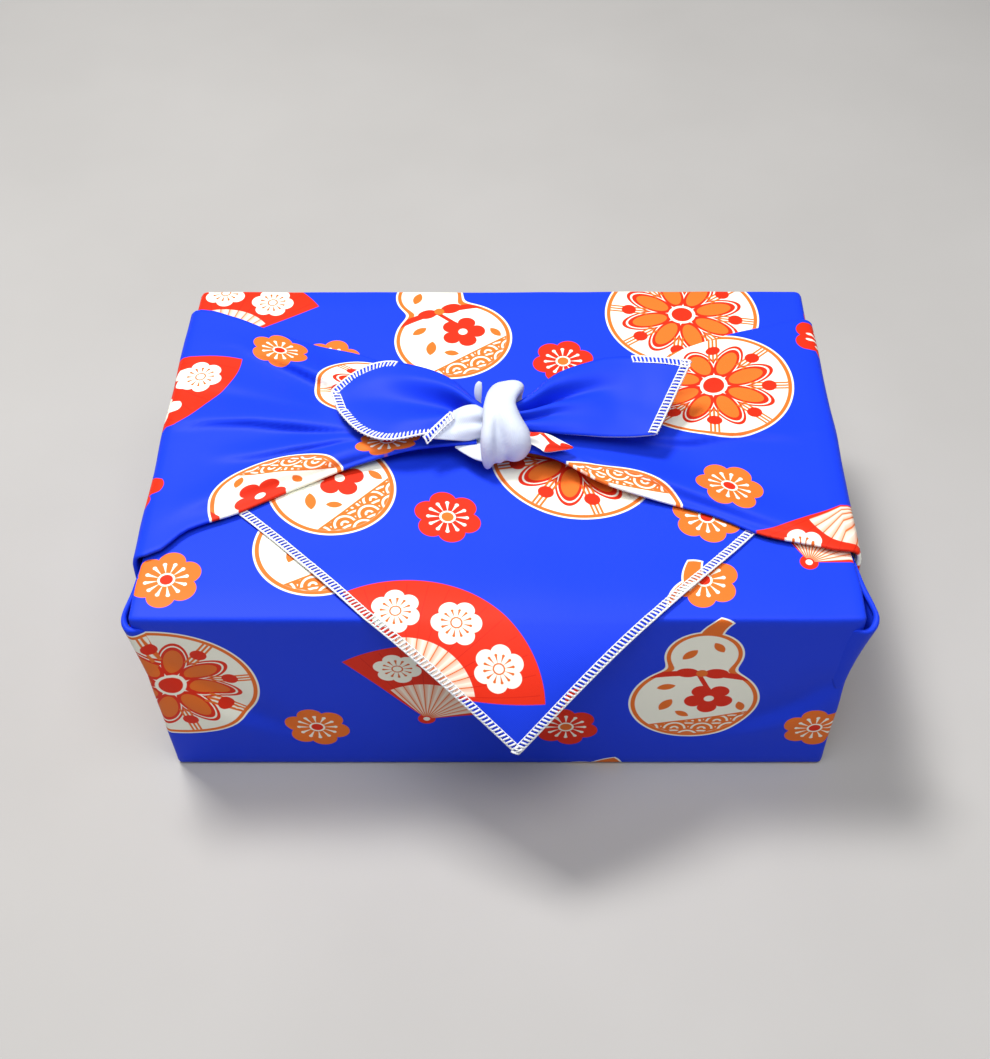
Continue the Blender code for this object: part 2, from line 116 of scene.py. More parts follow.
# Ridge lines of a band's creases: side, width in front and behind, points (across, back, height)
BAND_CREASES = (
    (-1, 2.8, 13, (
        (142, 5, 0.6), (122, 7, 2.6), (105, 7, 4), (84, 4, 4.8), (66, 1, 4), (44, -3, 1.4),
        (16, -5, 0.4),
    )),
    (-1, 2.8, 10, (
        (114, 54, 0.4), (101, 47, 2.8), (85, 37.5, 5), (70, 27.5, 5.4), (48, 14, 2), (22, 3, 0.3),
    )),
    (-1, 2.6, 6, (
        (118, -14, 0.3), (101, -12.5, 2.2), (83, -8.5, 3.6), (66, -5.5, 3.2), (44, -8, 0.8),
    )),
    (-1, 4, 7, (
        (132, -46, 0.2), (112, -36, 2.2), (88, -24, 3.6), (62, -14.5, 3), (42, -10, 0.8),
    )),
    (-1, 5, 9, (
        (138, 34, 0.3), (118, 29, 1.4), (92, 20, 2.4), (70, 13, 2.4), (48, 6, 0.8),
    )),
    (1, 3.4, 9, (
        (25, -14.5, 0.3), (42, -19.5, 1.6), (62, -27, 3.8), (81, -35.5, 3.4), (104, -47, 2.6),
        (126, -56, 1),
    )),
    (1, 3, 12, (
        (28, -2, 0.4), (52, -4, 1.6), (80, -5, 3.4), (101, 0, 2.8), (126, -2, 0.8),
    )),
    (1, 4, 9, (
        (28, 4, 0.4), (48, 14, 1), (72, 24, 2.4), (96, 34, 1.6), (120, 44, 0.4),
    )),
)

# Ridge lines of the front wall's creases: width below and above, points (across, up, height)
FRONT_CREASES = (
    (3.2, 10, (
        (-139, 84.5, -0.4), (-128.5, 70.1, -1.9), (-119.3, 57.4, -2.5), (-103.8, 39.8, -2.2),
        (-82, 24, -0.2),
    )),
    (12, 6, (
        (-141, 66, 0.4), (-128, 50, 1.3), (-112, 34, 1.3), (-92, 20, 0.3),
    )),
    (3.2, 10, (
        (138.5, 66.3, -0.4), (130.9, 56.4, -1.6), (122.8, 45.4, -2.2), (112.9, 37.8, -1.9),
        (92, 27, -0.2),
    )),
    (12, 5, (
        (136, 50, 0.4), (124, 36, 1.2), (108, 27, 1), (90, 20, 0.3),
    )),
)

# Small unevenness of the faces, and slack cloth pushed out at the front upper corners
UNEVEN_TALL = 0.55
UNEVEN_SIZE = 46.0
DIMPLE_TALL = 0.22
DIMPLE_SIZE = 19.0
UNEVEN_SHARE = 0.8
UNEVEN_OVER = 30.0
TOP_SAG = 0.7
LOOP_OUT = {1: 1.6, -1: 0.8}
LOOP_UP = 0.8
LOOP_REACH = 18.0
LOOP_BACK = 11.0
LOOP_DOWN = 6.0

# Grid steps of the finer sheet
GRID = 5.0
FINE_GRID = 2.2
FINE_FROM = 84.0
WALL_GRID = 2.6
ARC_STEPS = 4
PLEAT_STEPS = 11
WALL_PLEAT_STEPS = 5
BAND_STEPS = 76
BAND_GRID = {1: 3.8, -1: 3.0}
HANG_STEPS = 16
HANG_FINE = 10
NEAR_STEPS = 14
FAR_GRID = 5.5
PARTING_FROM = 78.0


def smooth(value):
    """Soft step from 0 to 1."""
    t = min(max(value, 0.0), 1.0)
    return t * t * (3.0 - 2.0 * t)


def mix(start, end, share):
    """Straight blend of two numbers."""
    return start + (end - start) * share


def table_at(table, key, column):
    """Value of a falling table at a key, eased between its rows."""
    count = len(table)
    if key >= table[0][0]:
        return table[0][column]
    for index in range(count - 1):
        upper = table[index]
        lower = table[index + 1]
        if key >= lower[0]:
            before = table[max(index - 1, 0)]
            after = table[min(index + 2, count - 1)]
            span = upper[0] - lower[0]
            t = (upper[0] - key) / span
            into = (lower[column] - before[column]) / max(before[0] - lower[0], 1.0) * span
            out = (after[column] - upper[column]) / max(upper[0] - after[0], 1.0) * span
            t2 = t * t
            t3 = t2 * t
            return ((2 * t3 - 3 * t2 + 1) * upper[column] + (t3 - 2 * t2 + t) * into
                    + (3 * t2 - 2 * t3) * lower[column] + (t3 - t2) * out)
    return table[-1][column]


def steps(start, end, size):
    """Places from start up to but not including end, about a size apart."""
    count = max(1, round(abs(end - start) / size))
    return [mix(start, end, index / count) for index in range(count)]


# Slack, dents and creases that the layers follow

def ridge(u, v, before, behind, line):
    """Height of one crease at a place; it falls off over one width on each side of its ridge line."""
    best = None
    for start, end in zip(line, line[1:]):
        along_u = end[0] - start[0]
        along_v = end[1] - start[1]
        t = (u - start[0]) * along_u + (v - start[1]) * along_v
        t /= along_u * along_u + along_v * along_v
        t = min(max(t, 0.0), 1.0)
        off_u = u - mix(start[0], end[0], t)
        off_v = v - mix(start[1], end[1], t)
        gap = math.hypot(off_u, off_v)
        if best is None or gap < best[0]:
            best = (gap, off_v, mix(start[2], end[2], t))
    gap, off_v, tall = best
    width = before if off_v < 0.0 else behind
    return tall * math.exp(-(gap / width) ** 2)


def band_crease(side, along, y):
    """Lift of all creases of one band at a place on the top."""
    total = 0.0
    for crease_side, before, behind, line in BAND_CREASES:
        if crease_side == side:
            total += ridge(along, y, before, behind, line) ** 2
    return math.sqrt(total)


def relief(x, y, z):
    """Small unevenness of the wrapped faces, as a lift."""
    lift = UNEVEN_TALL * noise.noise(Vector((x, y, z)) / UNEVEN_SIZE)
    lift += DIMPLE_TALL * noise.noise(Vector((y, z, x)) / DIMPLE_SIZE)
    if y < 0.01 - HALF_D:
        lift += sum(ridge(x, z, *crease) for crease in FRONT_CREASES)
    if z > TOP_Z - 0.01:
        lift -= TOP_SAG * smooth((110.0 - abs(x)) / 90.0) * smooth((80.0 - abs(y)) / 60.0)
    return lift * UNEVEN_SHARE


def rounded(x, y, z, lift):
    """Point of the rounded reference block that belongs to a point of the sharp one."""
    inner = Vector((
        min(max(x, EDGE_R - HALF_W), HALF_W - EDGE_R),
        min(max(y, EDGE_R - HALF_D), HALF_D - EDGE_R),
        min(max(z, BASE_Z + EDGE_R), TOP_Z - EDGE_R),
    ))
    outward = (Vector((x, y, z)) - inner).normalized()
    uneven = relief(x, y, z) * smooth((z - BASE_Z) / UNEVEN_OVER)
    return inner + outward * (EDGE_R + lift + uneven)


def corner_loop(point):
    """Outward push of the slack cloth at the front upper corners."""
    side = 1 if point.x > 0 else -1
    centre = Vector((side * HALF_W, LOOP_BACK - HALF_D, TOP_Z - LOOP_DOWN))
    share = 1.0 - (point - centre).length / LOOP_REACH
    if share <= 0.0:
        return point
    return point + Vector((side * LOOP_OUT[side], 0.0, LOOP_UP)) * smooth(share)


# Lists of grid lines

def wall_heights():
    """Heights of the grid lines on the walls, from the underside up."""
    offsets = [0.0, EDGE_MID, EDGE_R] + steps(5.0, 14.0, 1.5) + steps(14.0, PLEAT_FORMED_H, 2.0)
    offsets += steps(PLEAT_FORMED_H, WALL_H - EDGE_R, WALL_GRID)
    offsets += [WALL_H - EDGE_R, WALL_H - EDGE_MID, WALL_H]
    return [BASE_Z + offset for offset in offsets]


def strip_columns():
    """Places across the bundle of the grid lines that run front to back."""
    inner = steps(EDGE_R - HALF_W, -FINE_FROM, FINE_GRID)[1:] + steps(-FINE_FROM, FINE_FROM, GRID)
    inner += steps(FINE_FROM, HALF_W - EDGE_R, FINE_GRID)
    edge = [HALF_W, HALF_W - EDGE_MID, HALF_W - EDGE_R]
    return [-value for value in edge] + inner + edge[::-1]


def top_share(height):
    """How far the layers have moved apart toward the upper edge."""
    return smooth((height - PARTING_FROM) / (TOP_Z - EDGE_R - PARTING_FROM))


def pleat_values(side, front, height):
    """Turn, hidden length and outer edge of a corner pleat at one height."""
    share = (height - BASE_Z) / WALL_H
    lean = FRONT_LEAN[side] if front else BACK_LEAN[side]
    depth = FRONT_PLEAT[side] if front else BACK_PLEAT[side]
    edge = mix(PLEAT_START, lean, share)
    rise = height - BASE_Z
    formed = max(0.0, (rise - EDGE_R) / (PLEAT_FORMED_H - EDGE_R))
    turn = math.pi * smooth(formed)
    if rise <= PLEAT_FORMED_H:
        hidden = PLEAT_SMALL * formed
    else:
        hidden = mix(PLEAT_SMALL, depth, (rise - PLEAT_FORMED_H) / (WALL_H - PLEAT_FORMED_H))
    return turn, hidden, edge


def pleat_section(side, front, height):
    """Corner pleat at one height as (distance from the corner, lift) points."""
    turn, hidden, edge = pleat_values(side, front, height)
    upper = top_share(height)
    inner_lift = 0.0 if front else LAYER_STEP * upper
    extra = LAYER_STEP * upper - inner_lift
    start = edge + FOLD_R
    end = start - 2.0 * FOLD_R * math.sin(turn) - hidden * math.cos(turn)
    corner = [0.0, EDGE_MID, EDGE_R]
    wall = [mix(EDGE_R, end, (step + 1) / WALL_PLEAT_STEPS) for step in range(WALL_PLEAT_STEPS)]
    flat = [(value, inner_lift) for value in corner + wall]
    fold_r = FOLD_R + extra / 2.0 * (turn / math.pi)
    first = []
    for step in range(1, ARC_STEPS + 1):
        angle = turn * step / ARC_STEPS
        first.append((end + FOLD_R * math.sin(angle), inner_lift + fold_r * (1.0 - math.cos(angle))))
    under = []
    for step in range(1, PLEAT_STEPS + 1):
        length = hidden * step / PLEAT_STEPS
        under.append((first[-1][0] + length * math.cos(turn), first[-1][1] + length * math.sin(turn)))
    second = []
    for step in range(1, ARC_STEPS + 1):
        angle = turn * (1.0 - step / ARC_STEPS)
        second.append((
            under[-1][0] + FOLD_R * (math.sin(turn) - math.sin(angle)),
            under[-1][1] + FOLD_R * (math.cos(angle) - math.cos(turn)),
        ))
    return flat, first, under, second


def band_wave(side, share, along, width):
    """Lift of the folds that run along a band; along is the distance from the middle."""
    strength = BAND_WAVE[side] * (1.0 - smooth((along - WAVE_FROM) / WAVE_OVER)) + WAVE_LEAST
    strength = min(strength, STEEPEST_FOLD * width / (math.pi * BAND_WAVES[side]))
    ends = smooth(share / WAVE_ENDS) * smooth((1.0 - share) / WAVE_ENDS)
    phase = share * BAND_WAVES[side] * 2.0 * math.pi + WAVE_PHASE * side
    return strength * ends * (1.0 + math.sin(phase)) / 2.0


def band_rise(along):
    """Lift of a band toward the knot."""
    return BAND_RISE * (1.0 - smooth(along / BAND_RISE_FROM))


def flat_edge(side, front, path):
    """Flat-cloth place of a band's fold line at a path length from the underside's edge."""
    lean = FRONT_LEAN[side] if front else BACK_LEAN[side]
    place = HALF_D - PLEAT_START - (lean - PLEAT_START) * path / WALL_H
    return -place if front else place


# Patches of the sheet: rows of (point, flat-cloth place)

def corner_patch(side, front):
    """Cloth from the upright corner to the hidden fold of its pleat."""
    grid = []
    sign = 1.0 if front else -1.0
    for height in wall_heights():
        flat, first = pleat_section(side, front, height)[:2]
        row = []
        for place, lift in flat + first:
            point = rounded(side * HALF_W, sign * (place - HALF_D), height, lift)
            where = (side * (HALF_W + place), -sign * (HALF_D + height - BASE_Z))
            row.append((corner_loop(point), where))
        grid.append(row)
    return grid


def wall_row(side, height):
    """One row of the side wall between the hidden folds of its two pleats."""
    path = height - BASE_Z
    ends = {}
    halves = {}
    for front in (True, False):
        sign = 1.0 if front else -1.0
        first, under, second = pleat_section(side, front, height)[1:]
        line = flat_edge(side, front, path)
        half = []
        for place, lift in [first[-1]] + under + second:
            beyond = max(0.0, place - second[-1][0])
            half.append((sign * (place - HALF_D), lift, line - sign * beyond))
        halves[front] = half
        ends[front] = half[-1]
    middle_lift = MIDDLE_LIFT * smooth(path / PLEAT_FORMED_H)
    middle_lift += 3.0 * LAYER_STEP * top_share(height)
    width = ends[False][0] - ends[True][0]
    row = list(halves[True])
    for step in range(1, BAND_STEPS):
        share = step / BAND_STEPS
        place = mix(ends[True][0], ends[False][0], share)
        front_reach = (place - ends[True][0] - pleat_values(side, True, height)[1]) / SETTLE
        back_reach = (ends[False][0] - place - pleat_values(side, False, height)[1]) / SETTLE
        lift = middle_lift
        lift += (ends[True][1] - middle_lift) * (1.0 - smooth(front_reach - 0.1))
        lift += (ends[False][1] - middle_lift) * (1.0 - smooth(back_reach - 0.1))
        wave = band_wave(side, share, 140.0 + TOP_Z - height, width)
        lift += wave * smooth((height - WALL_WAVE_FROM) / WALL_WAVE_OVER)
        row.append((place, lift, mix(ends[True][2], ends[False][2], share)))
    row += halves[False][::-1]
    return [(rounded(side * HALF_W, y, height, lift), (side * (HALF_W + path), flat))
            for y, lift, flat in row]


def band_row(side, along):
    """One row of the band over the top, with the turned-under strip at both edges."""
    ease = smooth((HALF_W - along) / BAND_EASE)
    front_y = mix(FRONT_LEAN[side] - HALF_D, table_at(BAND_TABLE[side], along, 1), ease)
    back_y = mix(HALF_D - BACK_LEAN[side], table_at(BAND_TABLE[side], along, 2), ease)
    under_lift = 2.0 * LAYER_STEP + band_rise(along)
    first = front_y + FOLD_R
    last = back_y - FOLD_R
    width = last - first
    path = WALL_H + HALF_W - along
    flat_front = flat_edge(side, True, path)
    flat_back = flat_edge(side, False, path)
    front_hidden = min(FRONT_PLEAT[side], PLEAT_SHARE * width)
    back_hidden = min(BACK_PLEAT[side], PLEAT_SHARE * width)
    row = []

    def add(place, lift, flat, waved=True, hidden=False):
        share = (place - first) / width
        extra = band_wave(side, share, along, width) if waved else 0.0
        crease = band_crease(side, along, place)
        crease *= smooth(share / CREASE_ENDS) * smooth((1.0 - share) / CREASE_ENDS)
        crease *= HIDDEN_SHARE if hidden else 1.0
        leaning = place - FOLD_LEAN[side] * crease * smooth((HALF_W - along) / CREASE_EASE)
        point = rounded(side * along, leaning, TOP_Z, lift + extra + crease)
        row.append((point, (side * (HALF_W + path), flat)))

    for step in range(PLEAT_STEPS + 1):
        beyond = front_hidden * (1.0 - step / PLEAT_STEPS)
        add(first + beyond, under_lift, flat_front - beyond, hidden=True)
    for step in range(1, ARC_STEPS + 1):
        angle = math.pi * (step / ARC_STEPS - 0.5)
        fold_lift = under_lift + FOLD_R * (1.0 + math.sin(angle))
        add(first - FOLD_R * math.cos(angle), fold_lift, flat_front, False)
    for step in range(1, BAND_STEPS):
        share = step / BAND_STEPS
        add(mix(first, last, share), under_lift + LAYER_STEP, mix(flat_front, flat_back, share))
    add(last, under_lift + LAYER_STEP, flat_back, False)
    for step in range(ARC_STEPS - 1, -1, -1):
        angle = math.pi * (step / ARC_STEPS - 0.5)
        fold_lift = under_lift + FOLD_R * (1.0 + math.sin(angle))
        add(last + FOLD_R * math.cos(angle), fold_lift, flat_back, False)
    for step in range(PLEAT_STEPS - 1, -1, -1):
        beyond = back_hidden * (1.0 - step / PLEAT_STEPS)
        add(last - beyond, under_lift, flat_back + beyond, hidden=True)
    return row


def band_patch(side):
    """Side wall and the band that runs on from it to the knot."""
    grid = [wall_row(side, height) for height in wall_heights()]
    stations = [HALF_W - EDGE_MID, HALF_W - EDGE_R] + steps(132.0, 9.0, BAND_GRID[side]) + [9.0]
    grid += [band_row(side, along) for along in stations]
    return grid


def edge_places(front):
    """Distances from the corner, left and right, shared by a flap and its corner pleats."""
    left = [place for place, lift in pleat_section(-1, front, TOP_Z)[0]]
    right = [place for place, lift in pleat_section(1, front, TOP_Z)[0]]
    return list(zip(left, right))


def skewed(pair, x):
    """Distance from the edge at one place across the bundle."""
    return mix(pair[0], pair[1], (x + HALF_W) / (2.0 * HALF_W))


def near_flap_patch():
    """Near flap from its hidden tip back to the front upper edge."""
    columns = strip_columns()
    grid = []

    def flat(y):
        return -(HALF_D + WALL_H + y + HALF_D)

    fold_flat = flat(NEAR_FOLD_Y)
    for step in range(NEAR_STEPS + 1):
        share = step / NEAR_STEPS
        y = mix(NEAR_TIP_Y, NEAR_FOLD_Y, share)
        reach = NEAR_FOLD_HALF * share / HALF_W
        under_flat = fold_flat - (NEAR_FOLD_Y - y)
        grid.append([(rounded(x * reach, y, TOP_Z, -LAYER_STEP), (x * reach, under_flat)) for x in columns])
    for step in range(1, ARC_STEPS + 1):
        angle = math.pi * (step / ARC_STEPS - 0.5)
        y = NEAR_FOLD_Y + FOLD_R * math.cos(angle)
        reach = NEAR_FOLD_HALF / HALF_W
        lift = FOLD_R * (math.sin(angle) - 1.0)
        grid.append([(rounded(x * reach, y, TOP_Z, lift), (x * reach, fold_flat)) for x in columns])
    pairs = edge_places(True)
    last = pairs[-1]
    for step in range(1, NEAR_STEPS + 1):
        row = []
        for x in columns:
            y = mix(NEAR_FOLD_Y, skewed(last, x) - HALF_D, step / NEAR_STEPS)
            across = x * NEAR_SIDE_HALF / HALF_W
            row.append((rounded(across, y, TOP_Z, 0.0), (across, flat(y))))
        grid.append(row)
    for pair in pairs[-2::-1]:
        row = []
        for x in columns:
            y = skewed(pair, x) - HALF_D
            row.append((corner_loop(rounded(x, y, TOP_Z, 0.0)), (x, flat(y))))
        grid.append(row)
    return grid


def hang_profile():
    """Points of the hanging corner: share of its length, way out and drop."""
    count = HANG_STEPS * HANG_FINE
    out_sum = 0.0
    drop_sum = 0.0
    raw = [(0.0, 0.0, 0.0)]
    for step in range(count):
        angle = HANG_START + HANG_TURN * (step + 0.5) / count
        out_sum += math.cos(angle)
        drop_sum += math.sin(angle)
        if (step + 1) % HANG_FINE == 0:
            raw.append(((step + 1) / count, out_sum, drop_sum))
    return [(reach, out / out_sum * HANG_OUT, drop / drop_sum * HANG_DROP) for reach, out, drop in raw]


def far_flap_patch():
    """Far flap from the back upper edge forward, over the front and down to its tip."""
    columns = strip_columns()
    grid = []

    def flat(y):
        return HALF_D + WALL_H + HALF_D - y

    pairs = edge_places(False)
    for pair in pairs[:-1]:
        row = []
        for x in columns:
            y = HALF_D - skewed(pair, x)
            row.append((rounded(x, y, TOP_Z, LAYER_STEP), (x, flat(y))))
        grid.append(row)
    start = min(HALF_D - skewed(pairs[-2], x) for x in columns) - 5.0
    for y in steps(start, -HALF_D, FAR_GRID)[:-1]:
        half = min(FAR_SIDE_HALF, FLAP_EDGE_HALF + y + HALF_D)
        shift = FLAP_SHIFT_EDGE * smooth((-5.0 - y) / FLAP_SHIFT_OVER)
        swell = FLAP_SWELL * smooth((-FLAP_SWELL_FROM - y) / FLAP_SWELL_OVER)
        row = []
        for x in columns:
            across = x * half / HALF_W
            row.append((rounded(across + shift, y, TOP_Z, LAYER_STEP + swell), (across, flat(y))))
        grid.append(row)
    for reach, out, drop in hang_profile():
        half = FLAP_EDGE_HALF * (1.0 - reach)
        shift = mix(FLAP_SHIFT_EDGE, FLAP_SHIFT_TIP, reach)
        height = TOP_Z + LAYER_STEP + FLAP_LIFT - drop
        row = []
        for x in columns:
            across = x / HALF_W
            cup = FLAP_CUP * across * across * reach * (1.0 - reach) * 4.0
            point = Vector((across * half + shift, -HALF_D - out + cup, height))
            row.append((point, (across * half, flat(-HALF_D) + FLAP_EDGE_HALF * reach)))
        grid.append(row)
    return grid


def wall_patch(front):
    """Front or back wall."""
    grid = []
    sign = -1.0 if front else 1.0
    for height in wall_heights():
        lift = 0.0 if front else LAYER_STEP * top_share(height)
        row = []
        for x in strip_columns():
            point = rounded(x, sign * HALF_D, height, lift)
            row.append((corner_loop(point), (x, sign * (HALF_D + height - BASE_Z))))
        grid.append(row)
    return grid


def under_patch():
    """Underside, flat on the surface."""
    corner = [place for place, lift in pleat_section(1, True, BASE_Z)[0]]
    span = HALF_D - corner[-1]
    places = [place - HALF_D for place in corner]
    places += [mix(-span, span, step / BAND_STEPS) for step in range(1, BAND_STEPS)]
    places += [HALF_D - place for place in corner[::-1]]
    return [[(rounded(x, y, BASE_Z, 0.0), (x, y)) for x in strip_columns()] for y in places]


# Mesh making

PRINT = 0
REVERSE = 1
HEM = 2
PLAIN = 3


def weld_patches(patches):
    """Open mesh of the patches, welded where their borders meet, with flat-cloth places as UVs."""
    work = bmesh.new()
    layer = work.loops.layers.uv.new("flat")
    for grid in patches:
        made = [[work.verts.new(point * MM) for point, where in row] for row in grid]
        for i in range(len(grid) - 1):
            for j in range(len(grid[i]) - 1):
                corners = ((i, j), (i, j + 1), (i + 1, j + 1), (i + 1, j))
                face = work.faces.new([made[a][b] for a, b in corners])
                for loop, (a, b) in zip(face.loops, corners):
                    where = grid[a][b][1]
                    loop[layer].uv = (where[0] * MM, where[1] * MM)
    bmesh.ops.remove_doubles(work, verts=work.verts, dist=0.00002)
    bmesh.ops.dissolve_degenerate(work, edges=work.edges, dist=0.00001)
    bmesh.ops.recalc_face_normals(work, faces=work.faces)
    return work


def face_up(work, centre, reach):
    """Turn all faces over unless those near a place look upward."""
    total = 0.0
    for face in work.faces:
        if (face.calc_center_median() - centre).length < reach:
            total += face.normal.z
    if total < 0.0:
        bmesh.ops.reverse_faces(work, faces=work.faces)


def joined_flat(work):
    """Join the many flat faces of the underside into one."""
    reach_x = (HALF_W - 2.0 * EDGE_R) * MM
    reach_y = (HALF_D - 2.0 * EDGE_R - PLEAT_START - PLEAT_SMALL) * MM

    def is_flat(place):
        return place.z < (BASE_Z + 0.01) * MM and abs(place.x) < reach_x and abs(place.y) < reach_y

    flat = {face for face in work.faces if all(is_flat(vert.co) for vert in face.verts)}
    inner_edges = [edge for edge in work.edges if edge.link_faces and flat.issuperset(edge.link_faces)]
    bmesh.ops.dissolve_edges(work, edges=inner_edges, use_verts=True)


def thickened(work, thickness, slots=(PRINT, REVERSE), plain_above=None):
    """Closed sheet: print side out, reverse side in, thread colour at the border.

    Above a given height, inside the tight folds of the bands, the inner side has the ground colour.
    """
    layer = work.loops.layers.uv.active
    work.normal_update()
    made = bmesh.new()
    new_layer = made.loops.layers.uv.new("flat")
    half = thickness * MM / 2
    outer = {vert: made.verts.new(vert.co + vert.normal * half) for vert in work.verts}
    inner = {vert: made.verts.new(vert.co - vert.normal * half) for vert in work.verts}
    for face in work.faces:
        in_band = plain_above is not None and face.calc_center_median().z > plain_above
        inner_slot = PLAIN if in_band else slots[1]
        for verts, order, slot in ((outer, 1, slots[0]), (inner, -1, inner_slot)):
            loops = list(face.loops)[::order]
            copy = made.faces.new([verts[loop.vert] for loop in loops])
            copy.material_index = slot
            copy.smooth = True
            for new_loop, loop in zip(copy.loops, loops):
                new_loop[new_layer].uv = loop[layer].uv
    for edge in work.edges:
        if len(edge.link_faces) != 1:
            continue
        loop = edge.link_loops[0]
        start = loop.vert
        end = loop.link_loop_next.vert
        rim = made.faces.new((outer[end], outer[start], inner[start], inner[end]))
        rim.material_index = HEM
        rim.smooth = False
        for new_loop in rim.loops:
            new_loop[new_layer].uv = loop[layer].uv
    work.free()
    return made


def add_into(target, source):
    """Copy all of a source mesh into a target mesh."""
    mesh = bpy.data.meshes.new("part")
    source.to_mesh(mesh)
    source.free()
    target.from_mesh(mesh)
    bpy.data.meshes.remove(mesh)


def piece_from(name, work, materials):
    """Scene object of a mesh."""
    mesh = bpy.data.meshes.new(name)
    work.to_mesh(mesh)
    work.free()
    made = bpy.data.objects.new(name, mesh)
    bpy.context.scene.collection.objects.link(made)
    for item in materials:
        mesh.materials.append(item)
    return made


# Materials

class Field:
    """A number that varies over the surface, worked out by shader nodes."""

    def __init__(self, tree, socket):
        self.tree = tree
        self.socket = socket

    def math(self, operation, *others, clamp=False):
        node = self.tree.nodes.new("ShaderNodeMath")
        node.operation = operation
        node.use_clamp = clamp
        self.tree.links.new(self.socket, node.inputs[0])
        for index, other in enumerate(others, start=1):
            if isinstance(other, Field):
                self.tree.links.new(other.socket, node.inputs[index])
            else:
                node.inputs[index].default_value = float(other)
        return Field(self.tree, node.outputs[0])

    def __add__(self, other):
        return self.math("ADD", other)

    def __sub__(self, other):
        return self.math("SUBTRACT", other)

    def __mul__(self, other):
        return self.math("MULTIPLY", other)

    def __truediv__(self, other):
        return self.math("DIVIDE", other)

    def __abs__(self):
        return self.math("ABSOLUTE")

    def least(self, other):
        return self.math("MINIMUM", other)

    def most(self, other):
        return self.math("MAXIMUM", other)

    def near_zero(self, half):
        """Mask of the places where the number is within a half width of zero."""
        return (abs(self) - half).inside()

    def inside(self, soft=0.22):
        """Mask of the places where the number is below zero, with a soft edge."""
        return (self * (-1.0 / soft)).math("ADD", 0.5, clamp=True)


def length(x, y):
    """Distance from the origin."""
    return (x * x + y * y).math("SQRT")


def turned(x, y, angle):
    """Coordinates turned about the origin by a field of angles."""
    cosine = angle.math("COSINE")
    sine = angle.math("SINE")
    return x * cosine + y * sine, y * cosine - x * sine


def dot(x, y, centre_x, centre_y, radius):
    """Distance to a disc."""
    return length(x - centre_x, y - centre_y) - radius


def wedge(x, y, count, phase=0.0):
    """Coordinates folded into one of several equal sectors, its middle along x."""
    step = 2.0 * math.pi / count
    angle = y.math("ARCTAN2", x) + phase
    folded = (angle + step / 2.0).math("FLOORED_MODULO", step) - step / 2.0
    radius = length(x, y)
    return radius * folded.math("COSINE"), radius * folded.math("SINE")


class Paint:
    """Colours laid over each other by masks."""

    def __init__(self, tree, colour):
        self.tree = tree
        node = tree.nodes.new("ShaderNodeRGB")
        node.outputs[0].default_value = (*colour, 1.0)
        self.socket = node.outputs[0]

    def over(self, colour, mask):
        node = self.tree.nodes.new("ShaderNodeMix")
        node.data_type = "RGBA"
        self.tree.links.new(mask.socket, node.inputs[0])
        self.tree.links.new(self.socket, node.inputs[6])
        if isinstance(colour, Paint):
            self.tree.links.new(colour.socket, node.inputs[7])
        else:
            node.inputs[7].default_value = (*colour, 1.0)
        self.socket = node.outputs[2]


BLUE = (0.009, 0.042, 0.66)
CREAM = (0.86, 0.86, 0.75)
ORANGE = (0.74, 0.155, 0.022)
DEEP_ORANGE = (0.64, 0.12, 0.015)
RED = (0.68, 0.026, 0.008)
DEEP_RED = (0.55, 0.015, 0.006)

CELL_W = 104.0
CELL_H = 93.0
PRINT_SHIFT = (24.0, 30.0)
CELL_DRIFT = 3.5
MOTIF_SCALE = 1.14
BLOSSOM_SIZE = 13.8
LINE_HALF = 0.42

# Leaves on a gourd: place across and up, angle, length
GOURD_LEAVES = (
    (-10, -14.5, 1.1, 4), (-11, -3.5, 0.3, 3.4), (17, -15, 1.9, 3.2),
    (-3.5, -20, 2.6, 3), (-5, 16, 0.9, 3.6), (4.5, 20.5, 2.2, 3.2),
)

CLOTH_ROUGHNESS = 0.5
CLOTH_SPECULAR = 0.10
CLOTH_WEAVE = 0.10
REVERSE_WEAVE = 0.14
THREADS_PER_M = 480.0
GRAIN_PER_M = 260.0


def lattice(u, v, shift_u, shift_v):
    """Coordinates in the nearest cell of a staggered lattice, and two cell numbers."""
    v = v + shift_v
    row = (v / CELL_H + 0.5).math("FLOOR")
    odd = row.math("FLOORED_MODULO", 2.0)
    u = u + shift_u - odd * (CELL_W / 2.0)
    column = (u / CELL_W + 0.5).math("FLOOR")
    return u - column * CELL_W, v - row * CELL_H, column, row


def petals(x, y, size, count):
    """Distance to a flower of round petals."""
    px, py = wedge(x, y, count, math.pi / 2.0)
    return (length(px - 0.62 * size, py * 0.94) - 0.37 * size).least(length(x, y) - 0.5 * size)


def blossom(paint, x, y, size, petal, centre, line, mask):
    """Six-petalled blossom with drop-shaped stamens round its centre."""
    paint.over(petal, petals(x, y, size, 6).inside() * mask)
    sx, sy = wedge(x, y, 12, 0.2)
    drop = abs(sy) - (sx - 0.22 * size) * 0.14
    stamens = drop.most(sx * -1.0 + 0.24 * size).most(sx - 0.55 * size)
    paint.over(line, stamens.least(length(sx - 0.56 * size, sy) - 0.058 * size).inside() * mask)
    paint.over(line, (length(x, y) - 0.24 * size).inside() * mask)
    paint.over(centre, (length(x, y) - 0.18 * size).inside() * mask)


def small_flower(paint, x, y, size, petal, centre, mask):
    """Plain five-petalled flower."""
    paint.over(petal, petals(x, y, size, 5).inside() * mask)
    paint.over(centre, (length(x, y) - 0.2 * size).inside() * mask)


